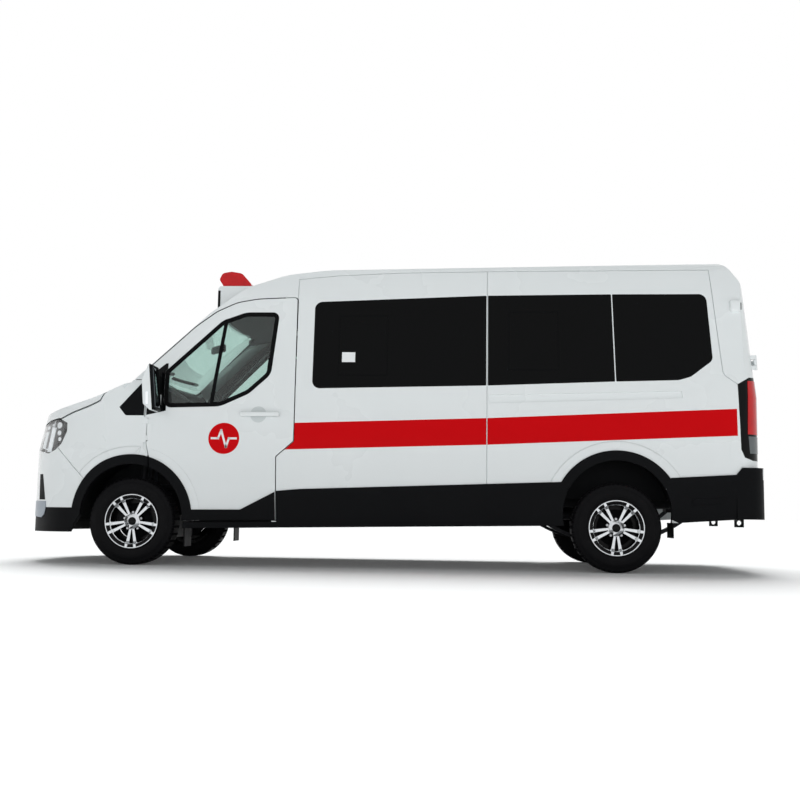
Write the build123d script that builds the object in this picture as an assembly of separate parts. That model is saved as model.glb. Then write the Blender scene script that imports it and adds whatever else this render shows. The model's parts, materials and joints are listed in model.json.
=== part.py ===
"""Van ambulance, left-hand drive, as separate pieces, in millimetres.

The nose points to -X, the left side to -Y and the ground is z = 0. Stations ahead of the middle are
drawn from the front axle and stations behind it from the rear axle, so that the axles carry them.
"""

import os
from math import cos, radians, sin

from build123d import *

# Driving sizes
WHEELBASE = 3750.0
FRONT_OVERHANG = 1025.0
REAR_OVERHANG = 1205.0
HALF_WIDTH = 1016.0
ROOF_TOP = 2482.0
CROWN_RADIUS = 5480.0
TRACK = 1742.0
TYRE_RADIUS = 340.0
TYRE_WIDTH = 215.0
BEAD_RADIUS = 205.0
WALL = 55.0
SKIN = 12.0
GLASS_INSET = 4.0
GLASS_THICKNESS = 6.0
DOOR_GAP = 8.0
SEAM_WIDTH = 6.0
SEAM_DEPTH = GLASS_INSET + GLASS_THICKNESS
FLOOR_TOP = 640.0
FLOOR_THICKNESS = 40.0
RAIL_HEIGHT = 100.0
RAIL_INNER = 400.0
RAIL_WIDTH = 80.0
ARCH_RADIUS = 412.0
ARCH_TRIM_WIDTH = 72.0
FRONT_ARCH_Z = 376.0
REAR_ARCH_Z = 443.0
LINER_RADIUS = 450.0
LINER_THICKNESS = 10.0
WELL_INNER = 545.0
REAR_WELL_INNER = 645.0
REAR_DOOR_HALF = 868.0
REAR_DOOR_SPLIT = 11.0
BUMPER_TOP = 806.0
REAR_DOOR_BOTTOM = 815.0
REAR_DOOR_TOP = 2228.0
KINGPIN_FOOT = 770.0
HUB_GAP = 6.0
RUNNING = 0.05
PIN_RADIUS = 5.0
SPINDLE_RADIUS = 30.0
KINGPIN_RADIUS = 14.0
FIREWALL_THICKNESS = 30.0
STEERING_RADIUS = 190.0
SUBFRAME_TOP = 390.0
SHAFT_Z = 440.0
ARM_TOP = 222.0
TOW_EYE_Z = 390.0
TOW_EYE_BORE = 40.0
BRAKE_RADIUS = 145.0
BRAKE_FACE = -66.0
HOOD_HINGE_Y = 510.0

# Stations that follow from them
LENGTH = FRONT_OVERHANG + WHEELBASE + REAR_OVERHANG
FRONT_AXLE = FRONT_OVERHANG - LENGTH / 2
REAR_AXLE = FRONT_AXLE + WHEELBASE
B_SEAM = FRONT_AXLE + 1264
MID_SEAM = REAR_AXLE - 985
HALF_TRACK = TRACK / 2
FLOOR_BOTTOM = FLOOR_TOP - FLOOR_THICKNESS
SIDE_REACH = HALF_WIDTH + 300
BASE_Z = 150.0
FAR = 4000.0
COWL_X = FRONT_AXLE - 70
HOOD_REAR = FRONT_AXLE - 125
HOOD_AXIS = (FRONT_AXLE - 132, 1462)
DOOR_AXIS = (FRONT_AXLE + 114, -HALF_WIDTH + 10)
REAR_AXIS_FOOT = Vector(REAR_AXLE + 1120, -REAR_DOOR_HALF - 14, REAR_DOOR_BOTTOM)
REAR_AXIS_TOP = Vector(REAR_AXLE + 1055, -REAR_DOOR_HALF - 14, REAR_DOOR_TOP)
FIREWALL_X = FRONT_AXLE + 40
COLUMN_FRAME = Plane(origin=(FRONT_AXLE + 575, -430, 1250), z_dir=(cos(radians(30)), 0, sin(radians(30))))
RAIL_BOTTOM = FLOOR_BOTTOM - RAIL_HEIGHT
RAIL_OUTER = RAIL_INNER + RAIL_WIDTH


def front_of(rows):
    """Move rows drawn from the front axle to their stations."""
    return [(FRONT_AXLE + x, *rest) for x, *rest in rows]


def rear_of(rows):
    """Move rows drawn from the rear axle to their stations."""
    return [(REAR_AXLE + x, *rest) for x, *rest in rows]


def outline(rows):
    """Closed face from rows of a, b and, where there is one, the corner's radius."""
    radii = [row[2] if len(row) > 2 else 0 for row in rows]
    points = [(row[0], row[1]) for row in rows]
    edge = FilletPolyline(*points, radius=radii, close=True) if any(radii) else Polyline(*points, close=True)
    return make_face(edge)


def slab(face, low, high):
    """Side-view face pushed across the van from y = low to y = high."""
    return extrude(Pos(0, low, 0) * (Plane.XZ * face), high - low, dir=(0, 1, 0))


def left_slab(rows, inner=600.0):
    """Side-view rows pushed through the left side only."""
    return slab(outline(rows), -SIDE_REACH, -inner)


def across(rows):
    """Side-view rows pushed through the whole van."""
    return slab(outline(rows), -SIDE_REACH, SIDE_REACH)


def block(x0, x1, y0, y1, z0, z1):
    """Box between two corners."""
    return Pos((x0 + x1) / 2, (y0 + y1) / 2, (z0 + z1) / 2) * Box(x1 - x0, y1 - y0, z1 - z0)


def rod(x, z, radius, y0, y1):
    """Cylinder along Y."""
    return Pos(x, (y0 + y1) / 2, z) * Rot(90, 0, 0) * Cylinder(radius, abs(y1 - y0))


def flip(shape):
    """The same piece on the other side of the van."""
    return mirror(shape, about=Plane.XZ)


def both(shape):
    """A left piece and its right twin."""
    return shape + flip(shape)


def sill_z(x):
    """Height of the sill's lower edge, which climbs to the rear."""
    return 291 + (x - FRONT_AXLE - 430) * 0.0209


# Side view of the centre line: x, z, corner radius
NOSE_LINE = [
    (-995, BASE_Z, 0), (-1025, 400, 80), (-1000, 700, 700), (-975, 1060, 500), (-880, 1225, 160),
    (-640, 1318, 900), (-310, 1429, 1500), (-100, 1525, 0), (-95, 1488, 0), (560, 2085, 300),
    (835, ROOF_TOP - 197, 350), (1165, ROOF_TOP - 90, 800), (1495, ROOF_TOP - 52, 1500),
]
TAIL_LINE = [
    (865, ROOF_TOP, 110), (1005, 2300, 400), (1075, 1800, 2500), (1115, 950, 2000), (1120, BASE_Z, 0),
]
# Front view, right half: y, z, corner radius
SECTION = [
    (HALF_WIDTH - 41, BASE_Z, 0), (HALF_WIDTH - 16, 430, 300), (HALF_WIDTH, 640, 600),
    (HALF_WIDTH, 1000, 1500), (HALF_WIDTH - 26, 1400, 2500), (HALF_WIDTH - 111, 2150, 1500),
    (HALF_WIDTH - 180, ROOF_TOP - 54, 110), (0, ROOF_TOP + 53, 0),
]
# Plan, right half: x, y, corner radius
NOSE_PLAN = [
    (-1035, 0, 1800), (-1010, 330, 1500), (-895, 690, 600), (-675, 915, 500), (-235, HALF_WIDTH + 10, 1500),
]
TAIL_PLAN = [(760, HALF_WIDTH + 10, 60), (1088, HALF_WIDTH - 26, 190), (1118, 0, 0)]
LEAN_Z = 900.0
LEAN = 0.226
TUMBLE_Z = 1350.0
TUMBLE = 6.0


def envelope(inset):
    """Solid of the whole body, its outside moved in by inset."""
    half_plan = front_of(NOSE_PLAN) + rear_of(TAIL_PLAN)
    plan_rows = half_plan + [(x, -y, r) for x, y, r in reversed(half_plan[1:-1])]
    section_rows = SECTION + [(-y, z, r) for y, z, r in reversed(SECTION[:-1])]
    faces = [outline(front_of(NOSE_LINE) + rear_of(TAIL_LINE)), outline(section_rows), outline(plan_rows[::-1])]
    if inset:
        faces = [offset(face, -inset, kind=Kind.INTERSECTION) for face in faces]
    profile, section, plan = faces
    crown = Axis((0, 0, ROOF_TOP - CROWN_RADIUS), (1, 0, 0))
    crowned = revolve((Plane.XZ * profile).rotate(crown, -25), crown, 50)
    barrel = extrude(Plane.YZ * section, FAR, both=True)
    lean_face = Pos(0, 0, LEAN_Z) * plan
    leaning = extrude(lean_face, 1800, dir=(LEAN, 0, 1)) + extrude(lean_face, LEAN_Z, dir=(0, 0, -1))
    tumble_face = Pos(0, 0, TUMBLE_Z) * plan
    tumbling = extrude(tumble_face, 1400, taper=TUMBLE) + extrude(tumble_face, TUMBLE_Z, dir=(0, 0, -1))
    return crowned & barrel & leaning & tumbling


OUTER = envelope(0)
CAVITY = envelope(WALL)
CLAD = envelope(-SKIN)
GLASS_OUT = envelope(GLASS_INSET)
GLASS_IN = envelope(SEAM_DEPTH)
GLASS_SHELL = GLASS_OUT - GLASS_IN
SKIN_SHELL = CLAD - OUTER

# Outlines of the openings in side view
DOOR = front_of([
    (152, 690), (141, 778), (135, 840), (111, 934), (94, 1052), (89, 1162, 200), (92, 1540, 30), (460, 1891, 600),
    (619, 2010, 300), (780, 2084, 300), (942, 2113, 500), (1260, 2127, 30), (1267, 976, 20), (1130, 855, 20),
    (1140, 366), (300, 349),
])
DOOR_WINDOW = front_of([
    (230, 1229, 60), (230, 1522, 30), (662, 1936, 120), (850, 2006, 200), (1122, 2006, 50), (1073, 1500, 120),
    (905, 1345, 200), (680, 1242, 200),
])
HOOD_SEAM = front_of([(-629, 1140), (-509, 1189), (-389, 1230), (-309, 1263), (-277, 1279), (-247, 1335), (-105, 1452)])
HEADLAMP = front_of([
    (-562, 1042, 40), (-565, 1110, 20), (-657, 1142, 30), (-760, 1130, 60), (-890, 1085, 20), (-880, 900, 20),
    (-742, 867, 30), (-661, 896, 40), (-606, 945, 60),
])
QUARTER_TRIM = front_of([(-124, 1231, 10), (60, 1440, 10), (78, 1440), (78, 1166), (-69, 1166, 20)])
BUMPER_SEAM = front_of([(-300, 576), (-640, 915)])
DRIP = [(B_SEAM, 2283), *front_of([(1587, 2315), (2069, 2337)]), (MID_SEAM, 2349)]
DRIP_REAR = rear_of([(-98, 2355), (743, 2361)])
CORNER_SEAM = rear_of([(743, 2361), (768, 2024), (812, 1541), (826, 1510), (918, 1443)])
LAMP_FRONT = rear_of([(918, 1443), (930, 944), (958, 883), (1025, 861)])
FRONT_PANE = [
    (B_SEAM + 137, 1390, 60), (B_SEAM + 137, 2092, 60), (MID_SEAM - 6, 2146, 8), (MID_SEAM - 6, 1421, 8),
]
MIDDLE_PANE = [(MID_SEAM + 6, 1421, 8), (MID_SEAM + 6, 2146, 8), *rear_of([(-20, 2158, 8), (-4, 1458, 8)])]
REAR_PANE = rear_of([
    (4, 1458, 8), (-12, 2158, 8), (711, 2160, 60), (742, 1630, 60), (572, 1500, 80), (480, 1472, 100),
])
RAIL_SLOT = [(MID_SEAM + 12, 1284), (MID_SEAM + 12, 1346), *rear_of([(497, 1386), (504, 1333)])]


def grow(rows, amount):
    """Side-view face of an outline, moved outward all round."""
    return offset(outline(rows), amount, kind=Kind.INTERSECTION)


def arch(x, z, radius):
    """Cylinder through both sides at a wheel."""
    return rod(x, z, radius, -SIDE_REACH, SIDE_REACH)


def seam(points, width=SEAM_WIDTH):
    """Shallow channel along a line on the left side."""
    lines = slab(trace(Polyline(*points), width), -SIDE_REACH, -600)
    return lines - GLASS_IN


def body_shell():
    """Walls of the body, trimmed to the sills, the wheels and the rear doorway."""
    shell = OUTER - CAVITY
    front_edge = FRONT_AXLE + 430
    rear_edge = REAR_AXLE - 430
    under = [
        (-FAR, 0), (-FAR, 240), (FRONT_AXLE - 500, 250), (FRONT_AXLE - 380, 436), (FRONT_AXLE, 336),
        (front_edge, sill_z(front_edge) + 45), (rear_edge, sill_z(rear_edge) + 45), (REAR_AXLE + 457, 385),
        (REAR_AXLE + 900, 416), (FAR, 416), (FAR, 0),
    ]
    shell -= across(under)
    shell -= arch(FRONT_AXLE, FRONT_ARCH_Z, ARCH_RADIUS)
    shell -= arch(REAR_AXLE, REAR_ARCH_Z, ARCH_RADIUS)
    return shell


SHELL = body_shell()
DOORWAY = slab(grow(DOOR, DOOR_GAP), -SIDE_REACH, -600)
REAR_DOOR = [
    (0, REAR_DOOR_BOTTOM), (-REAR_DOOR_HALF, REAR_DOOR_BOTTOM), (-REAR_DOOR_HALF, 1300, 300),
    (90 - REAR_DOOR_HALF, REAR_DOOR_TOP, 40), (0, REAR_DOOR_TOP),
]


def rear_slab(face):
    """Front-view face pushed through the tail."""
    return extrude(Pos(REAR_AXLE + 800, 0, 0) * (Plane.YZ * face), 600, dir=(1, 0, 0))


REAR_DOORWAY = both(rear_slab(grow(REAR_DOOR, DOOR_GAP)))
REAR_DOORWAY += block(REAR_AXLE + 930, FAR, -REAR_DOOR_HALF, REAR_DOOR_HALF, 300, REAR_DOOR_BOTTOM)
SEAMS = seam([*DRIP, *DRIP_REAR]) + seam([(MID_SEAM, 400), (MID_SEAM, 2349)]) + seam(CORNER_SEAM)
SEAMS += seam([(B_SEAM, 2100), (B_SEAM, 2283)]) + seam(BUMPER_SEAM) + seam(front_of([(-105, 1452), (90, 1452)]))
FIXED = SHELL - both(DOORWAY) - REAR_DOORWAY - both(SEAMS)


def windscreen_slab():
    """Front-view prism of the windscreen."""
    rows = [(-815, 1500, 60), (-715, 2062, 70), (715, 2062, 70), (815, 1500, 60)]
    return extrude(Pos(COWL_X, 0, 0) * (Plane.YZ * outline(rows)), 760, dir=(1, 0, 0))


def roof():
    """Cab roof with its pillars and the roof behind, down to the drip seam."""
    rows = [(COWL_X, 1452), (B_SEAM, 1452), *DRIP, *DRIP_REAR, (FAR, 2361), (FAR, 2700), (COWL_X, 2700)]
    header = block(REAR_AXLE + 800, FAR, -700, 700, REAR_DOOR_TOP, 2361)
    return (FIXED & across(rows)) + (FIXED & header) - windscreen_slab()


def side_panel():
    """Left wall between the two seams, with its window cut."""
    rows = [*front_of([(1110, 300), (1110, 900)]), (B_SEAM, 1000), *DRIP, (MID_SEAM, 300)]
    return (FIXED & left_slab(rows)) - left_slab(FRONT_PANE)


def rear_quarter():
    """Left wall from the middle seam round the rear wheel, with two windows cut."""
    rows = [(MID_SEAM, 300), (MID_SEAM, 2349), *DRIP_REAR, *CORNER_SEAM[1:], *LAMP_FRONT[1:]]
    rows += rear_of([(1140, 858), (1140, BUMPER_TOP), (934, BUMPER_TOP), (888, 752), (888, 300)])
    panel = FIXED & left_slab(rows)
    slot = left_slab(RAIL_SLOT) - GLASS_IN
    return panel - left_slab(MIDDLE_PANE) - left_slab(REAR_PANE) - slot


def rear_corner():
    """Left rear pillar above the lamp."""
    rows = [*CORNER_SEAM, *rear_of([(1009, 1497), (1140, 1512), (1140, 2361)])]
    return (FIXED & left_slab(rows, 700)) + rear_hinge()[0]


def tail_lamp():
    """Left rear lamp, wrapped round the corner."""
    rows = [*LAMP_FRONT, *rear_of([(1140, 858), (1140, 1512), (1009, 1497)])]
    return FIXED & left_slab(rows)


def fender():
    """Left front wing."""
    rows = [*HOOD_SEAM, *front_of([(90, 1452), (165, 720), (165, 500), (-200, 500)]), *BUMPER_SEAM]
    rows += front_of([(-606, 945), (-562, 1042), (-565, 1110)])
    wing = (FIXED & left_slab(rows)) - left_slab(HEADLAMP)
    return room_for_door(wing - (left_slab(QUARTER_TRIM) - GLASS_IN)) + door_hinge()[0]


def front_bumper():
    """White nose panel between the lamps, with the grille opening cut."""
    rows = front_of([(-1200, 440), (-380, 440)]) + BUMPER_SEAM
    rows += front_of([(-661, 1000), (-770, 1118), (-890, 1092), (-1200, 1106)])
    panel = (FIXED & across(rows)) - both(left_slab(HEADLAMP))
    return panel - grille_slab()


def front_valance():
    """Black lower edge of the nose."""
    rows = front_of([(-1200, 200), (-380, 200), (-380, 440), (-1200, 440)])
    return FIXED & across(rows)


def grille_slab():
    """Front-view prism of the grille opening."""
    rows = [(-430, 640, 40), (-560, 1010, 40), (560, 1010, 40), (430, 640, 40)]
    return extrude(Pos(FRONT_AXLE - 1200, 0, 0) * (Plane.YZ * outline(rows)), 500, dir=(1, 0, 0))


def grille():
    """Frame and cross bars that fill the grille opening."""
    shell = (GLASS_OUT - CAVITY) & grille_slab()
    for z in (705, 765, 825, 885, 945):
        shell -= block(FRONT_AXLE - 1200, FRONT_AXLE - 700, -390, 390, z - 18, z + 18)
    return shell


def headlamp():
    """Left lamp: the bucket and its clear cover."""
    zone = FIXED & left_slab(HEADLAMP)
    cover = zone - GLASS_IN
    bucket = zone & GLASS_IN
    hollow = slab(grow(HEADLAMP, -25), -SIDE_REACH, -600) - envelope(WALL - 15)
    return bucket - hollow, cover


def hood():
    """Bonnet over the engine."""
    rows = front_of([(-1200, 1118), (-890, 1102), (-760, 1140), (-657, 1153)])
    rows += [(x - DOOR_GAP, z + 11) for x, z in HOOD_SEAM[:-1]]
    rows += [(HOOD_REAR, 1444), (HOOD_REAR, 1700), *front_of([(-1200, 1700)])]
    x, z = HOOD_AXIS
    lid = SHELL & across(rows)
    for y in (-HOOD_HINGE_Y, HOOD_HINGE_Y):
        lid -= block(x - 28, x + 28, y - 12, y + 12, 1300, z + 13)
        lid -= rod(x, z, PIN_RADIUS + RUNNING, y - 26, y + 26)
    return lid


def hood_bracket(y):
    """Arm from the tray under the windscreen with the pin that carries the hood."""
    x, z = HOOD_AXIS
    rows = [(x - 6, z - 7), (x - 6, z + 7, 3), (x + 3, z + 7, 3), (x + 10, z - 6), (FRONT_AXLE - 50, 1425)]
    rows += [(FRONT_AXLE - 50, 1398)]
    return slab(outline(rows), y - 6, y + 6) + rod(x, z, PIN_RADIUS, y - 24, y + 24)


def upright(x, y, radius, low, high):
    """Cylinder along Z."""
    return Pos(x, y, (low + high) / 2) * Cylinder(radius, high - low)


def door_hinge():
    """Left front hinge: what the wing carries, what the door carries and the pocket in the door."""
    x, y = DOOR_AXIS
    wing = upright(x, y, PIN_RADIUS, 972, 1138)
    for low, high in ((970, 1010), (1100, 1140)):
        wing += upright(x, y, 9, low, high) + block(FRONT_AXLE + 66, x, y - 9, y + 9, low, high)
    leaf = upright(x, y, 9, 1011, 1099) + block(x, x + 34, y - 9, y + 9, 1011, 1099)
    leaf -= upright(x, y, PIN_RADIUS + RUNNING, 900, 1200)
    pocket = block(x - 60, x + 15, -SIDE_REACH, y + 18, 962, 1148)
    return wing, leaf, pocket


def room_for_door(piece):
    """A left piece cut back where the front of the opening door sweeps past it."""
    x, y = DOOR_AXIS
    reach = -HALF_WIDTH - SKIN - DOOR_GAP
    edge = slab(grow(DOOR, DOOR_GAP), reach, -HALF_WIDTH + 66) & block(x - 60, x + 180, reach, 0, 600, 958)
    for angle in (8, 16, 24, 32, 40, 48, 56, 64, 68):
        piece -= edge.rotate(Axis((x, y, 0), (0, 0, -1)), angle)
    return piece


def front_door():
    """Left front door: its thick shell, its glass and the dark trim along its foot."""
    rear_edge = FRONT_AXLE + 1268
    plan = [(rear_edge, -HALF_WIDTH), (rear_edge + 90, -HALF_WIDTH), (rear_edge + 90, -600)]
    plan.append((rear_edge - 0.1 * (HALF_WIDTH - 600), -600))
    swing = extrude(outline(plan), 3000)
    _, leaf, pocket = door_hinge()
    shell = (SHELL & left_slab(DOOR)) - left_slab(DOOR_WINDOW) - swing - pocket + leaf
    glass = GLASS_SHELL & left_slab(DOOR_WINDOW)
    foot = left_slab(front_of([(380, 346), (1138, 362), (1131, 580), (864, 441), (470, 436)]))
    trim = SKIN_SHELL & (foot + arch_ring(FRONT_AXLE, FRONT_ARCH_Z)) & left_slab(DOOR)
    return shell, glass, trim - arch(FRONT_AXLE, FRONT_ARCH_Z, ARCH_RADIUS - 4)


def arch_ring(x, z):
    """Band round a left wheel opening."""
    low, high = -SIDE_REACH, -600
    return rod(x, z, ARCH_RADIUS + ARCH_TRIM_WIDTH, low, high) - rod(x, z, ARCH_RADIUS - 4, low, high)


def cladding():
    """Left dark trim on the fixed body: sill and rear arch, front arch, corner by the mirror."""
    front, rear = FRONT_AXLE + 415, REAR_AXLE - 380
    side = front_of([(415, 338), (1149, 344), (1142, 588), (1328, 605)]) + [(MID_SEAM, 661)]
    side += rear_of([(-421, 683), (-380, 683)]) + [(rear, sill_z(rear)), (front, sill_z(front))]
    tail = rear_of([(360, 700), (405, 723), (888, 752), (888, 416), (457, 385), (380, 420)])
    ring = arch_ring(REAR_AXLE, REAR_ARCH_Z) & block(-FAR, FAR, -FAR, 0, 640, FAR)
    sill = SKIN_SHELL & (left_slab(side) + left_slab(tail) + ring)
    sill -= arch(REAR_AXLE, REAR_ARCH_Z, ARCH_RADIUS - 4)
    wing = arch_ring(FRONT_AXLE, FRONT_ARCH_Z) & block(-FAR, FRONT_AXLE + 200, -FAR, 0, 436, FAR)
    corner = (OUTER - GLASS_IN) & left_slab(QUARTER_TRIM)
    return sill + room_for_door((SKIN_SHELL & wing) - DOORWAY) + corner


def rear_hinge():
    """Left rear hinge: what the pillar carries and what the door carries."""
    along = (REAR_AXIS_TOP - REAR_AXIS_FOOT).normalized()
    centre = REAR_AXIS_FOOT + along * 810
    frame = Plane(origin=centre, z_dir=along)
    x, y, z = centre.X, centre.Y, centre.Z
    pillar = frame * Cylinder(PIN_RADIUS, 116)
    for height in (-40, 40):
        pillar += frame * Pos(0, 0, height) * Cylinder(12, 34)
        pillar += block(x - 70, x, y - 12, y + 12, z + height - 15, z + height + 15)
    leaf = frame * Cylinder(12, 44) + block(x - 12, x + 12, y, y + 84, z - 19, z + 19)
    leaf += block(x - 60, x + 12, y + 56, y + 84, z - 19, z + 19)
    return pillar, leaf - frame * Cylinder(PIN_RADIUS + RUNNING, 200)


def rear_door():
    """Left rear door with its window."""
    window = rear_slab(outline([(-95, 1480, 60), (-795, 1480, 60), (-735, 2120, 60), (-95, 2120, 60)]))
    leaf = SHELL & rear_slab(outline(REAR_DOOR))
    leaf -= block(-FAR, FAR, -REAR_DOOR_SPLIT / 2, FAR, 0, FAR)
    return leaf - window + rear_hinge()[1], GLASS_SHELL & window


def mirror_housing():
    """Left door mirror on its arm."""
    rows = [
        (123, 1423, 20), (152, 1494, 60), (173, 1549, 12), (198, 1533, 10), (231, 1198, 10), (196, 1186, 10),
        (139, 1236, 20),
    ]
    head = slab(outline(front_of(rows)), -HALF_WIDTH - 221, -HALF_WIDTH - 49)
    arm = block(FRONT_AXLE + 145, FRONT_AXLE + 210, -HALF_WIDTH - 60, -900, 1250, 1330)
    return head + (arm - OUTER)


WELLS = both(rod(FRONT_AXLE, FRONT_ARCH_Z, LINER_RADIUS + LINER_THICKNESS, -SIDE_REACH, -WELL_INNER))
WELLS += both(rod(REAR_AXLE, REAR_ARCH_Z, LINER_RADIUS + LINER_THICKNESS, -SIDE_REACH, -REAR_WELL_INNER))
DOOR_ROOM = both(block(FRONT_AXLE + 75, B_SEAM + 20, -FAR, -905, 0, FAR))


def floor():
    """Floor over the whole length, with its two rocker boxes."""
    plate = block(FIREWALL_X, REAR_AXLE + 985, -FAR, FAR, FLOOR_BOTTOM, FLOOR_TOP) & CAVITY
    plate -= WELLS + DOOR_ROOM + both(block(REAR_AXLE + 880, FAR, -FAR, -HALF_WIDTH + 95, 0, FAR))
    front, rear = FRONT_AXLE + 480, REAR_AXLE - 480
    box = [(front, sill_z(front)), (rear, sill_z(rear)), (rear, FLOOR_BOTTOM), (front, FLOOR_BOTTOM)]
    rocker = slab(outline(box), -905, -860)
    front, rear = FRONT_AXLE + 430, REAR_AXLE - 430
    lip = [(front, sill_z(front)), (rear, sill_z(rear)), (rear, sill_z(rear) + 45), (front, sill_z(front) + 45)]
    flange = slab(outline(lip), -SIDE_REACH, -860) & OUTER
    return plate + both(rocker + flange)


def firewall():
    """Wall between the engine and the cab, with the tray under the windscreen."""
    back = FIREWALL_X + FIREWALL_THICKNESS
    wall = block(FIREWALL_X, back, -FAR, FAR, FLOOR_TOP, 1440) + block(FRONT_AXLE - 60, back, -FAR, FAR, 1400, 1440)
    return (wall & CAVITY) - WELLS + hood_bracket(-HOOD_HINGE_Y) + hood_bracket(HOOD_HINGE_Y)


def partition():
    """Wall between the cab and the load space."""
    return block(B_SEAM + 50, B_SEAM + 80, -FAR, FAR, FLOOR_TOP, FAR) & CAVITY


def wheel_liners():
    """Four arch liners."""
    outer, inner = LINER_RADIUS + LINER_THICKNESS, LINER_RADIUS
    front = rod(FRONT_AXLE, FRONT_ARCH_Z, outer, -FAR, -WELL_INNER) - rod(
        FRONT_AXLE, FRONT_ARCH_Z, inner, -FAR, -WELL_INNER
    )
    front = (front & block(-FAR, FAR, -FAR, 0, 345, FAR) & CAVITY) - DOOR_ROOM
    rear = rod(REAR_AXLE, REAR_ARCH_Z, outer, -FAR, -REAR_WELL_INNER) - rod(
        REAR_AXLE, REAR_ARCH_Z, inner, -FAR, -REAR_WELL_INNER - LINER_THICKNESS
    )
    rear = rear & block(-FAR, FAR, -FAR, 0, 560, FAR) & CAVITY
    return both(front) + both(rear)


def dashboard():
    """Dashboard with the centre console and the steering column."""
    back = FIREWALL_X + FIREWALL_THICKNESS - FRONT_AXLE
    rows = [(back, 1000), (back, 1395, 30), (200, 1385, 60), (430, 1285, 60), (470, 1180, 60), (430, 1020, 60)]
    shape = slab(outline(front_of([*rows, (300, 960)])), -885, 885)
    shape += block(FRONT_AXLE + 250, FRONT_AXLE + 400, -130, 130, FLOOR_TOP, 1000)
    shape += COLUMN_FRAME * Pos(0, 0, -95) * Cylinder(38, 160)
    return shape + COLUMN_FRAME * Pos(0, 0, -10) * Cylinder(PIN_RADIUS * 2, 50)


def steering_wheel():
    """Rim, hub and three spokes on the column's line."""
    ring = Pos(STEERING_RADIUS, 0, 0) * (Plane.XZ * RegularPolygon(16, 8))
    wheel = revolve(ring, Axis.Z, 360) + Cylinder(55, 30)
    for angle in (0, 120, 240):
        wheel += Rot(0, 0, angle) * Pos(110, 0, 0) * Box(150, 34, 14)
    wheel -= Pos(0, 0, -8) * Cylinder(PIN_RADIUS * 2 + RUNNING, 40)
    return COLUMN_FRAME * Pos(0, 0, 6) * wheel


def seat(low, high):
    """Seat on its plinth between two widths."""
    rows = [
        (700, FLOOR_TOP), (700, 860), (640, 910, 20), (640, 1035, 40), (1060, 1060, 60), (1145, 1720, 60),
        (1150, 1890, 40), (1245, 1890, 40), (1265, 1700, 80), (1200, 1000), (1180, FLOOR_TOP),
    ]
    return slab(outline(front_of(rows)), low, high)


def engine():
    """Engine and gearbox as one block."""
    shape = block(FRONT_AXLE - 560, FRONT_AXLE - 60, -290, 290, SUBFRAME_TOP, 1030)
    return shape + block(FRONT_AXLE - 60, FRONT_AXLE + 500, -140, 140, 395, FLOOR_BOTTOM - 10)


def kingpin():
    """Foot, direction and length of the left kingpin's line."""
    foot, top = Vector(FRONT_AXLE, -KINGPIN_FOOT, 235), Vector(FRONT_AXLE, -KINGPIN_FOOT + 109, 797)
    return foot, (top - foot).normalized(), (top - foot).length


def front_suspension():
    """Subframe with the lower arms and its posts to the rails."""
    shape = block(FRONT_AXLE - 110, FRONT_AXLE + 110, -470, 470, 200, SUBFRAME_TOP)
    arm = block(FRONT_AXLE - 60, FRONT_AXLE + 60, -725, -440, ARM_TOP - 30, ARM_TOP)
    arm += block(FRONT_AXLE - 25, FRONT_AXLE + 25, -KINGPIN_FOOT - 18, -440, ARM_TOP - 30, ARM_TOP)
    foot, along, _ = kingpin()
    arm += Plane(origin=foot, z_dir=along) * Pos(0, 0, 8) * Cylinder(KINGPIN_RADIUS, 64)
    shape += both(arm)
    return shape + both(block(FRONT_AXLE - 60, FRONT_AXLE + 60, -470, -RAIL_INNER - 5, SUBFRAME_TOP, RAIL_BOTTOM))


def rear_axle():
    """Live axle with its differential and the shaft from the gearbox."""
    end = HALF_TRACK + BRAKE_FACE - HUB_GAP
    shape = rod(REAR_AXLE, TYRE_RADIUS, 60, -end, end) + Pos(REAR_AXLE, 0, TYRE_RADIUS) * Sphere(165)
    shape += rod(REAR_AXLE, TYRE_RADIUS, SPINDLE_RADIUS, -end - 60, end + 60)
    front, rear = FRONT_AXLE + 500, REAR_AXLE - 90
    return shape + Pos((front + rear) / 2, 0, SHAFT_Z) * Rot(0, 90, 0) * Cylinder(45, rear - front)


def leaf_spring():
    """Left spring, which passes under the axle."""
    curve = ThreePointArc((REAR_AXLE - 640, 470), (REAR_AXLE, 225), (REAR_AXLE + 680, 500))
    spring = slab(trace(curve, 26), -630, -560)
    pad = block(REAR_AXLE - 70, REAR_AXLE + 70, -630, -560, 225, 300)
    return spring + (pad - rod(REAR_AXLE, TYRE_RADIUS, 60, -FAR, FAR))


def rear_bumper():
    """Dark bumper with the step on top."""
    half = [(888, HALF_WIDTH + 8, 0), (1100, HALF_WIDTH - 10, 130), (1180, 560, 700), (REAR_OVERHANG, 0, 0)]
    hollow = [(800, HALF_WIDTH - 70, 0), (1010, HALF_WIDTH - 85, 60), (1095, 540, 500), (REAR_OVERHANG - 85, 0, 0)]
    solids = []
    for rows in (half, hollow):
        rows = rear_of(rows)
        full = rows + [(x, -y, r) for x, y, r in reversed(rows[:-1])]
        solids.append(extrude(Pos(0, 0, 418) * outline(full[::-1]), BUMPER_TOP - 418))
    outer, inner = solids
    step = inner & block(REAR_AXLE + 985, FAR, -FAR, FAR, BUMPER_TOP - 30, BUMPER_TOP)
    notch = across(rear_of([(880, 752), (888, 752), (934, BUMPER_TOP), (934, FAR), (880, FAR)]))
    return (outer - inner) + step - notch


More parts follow.
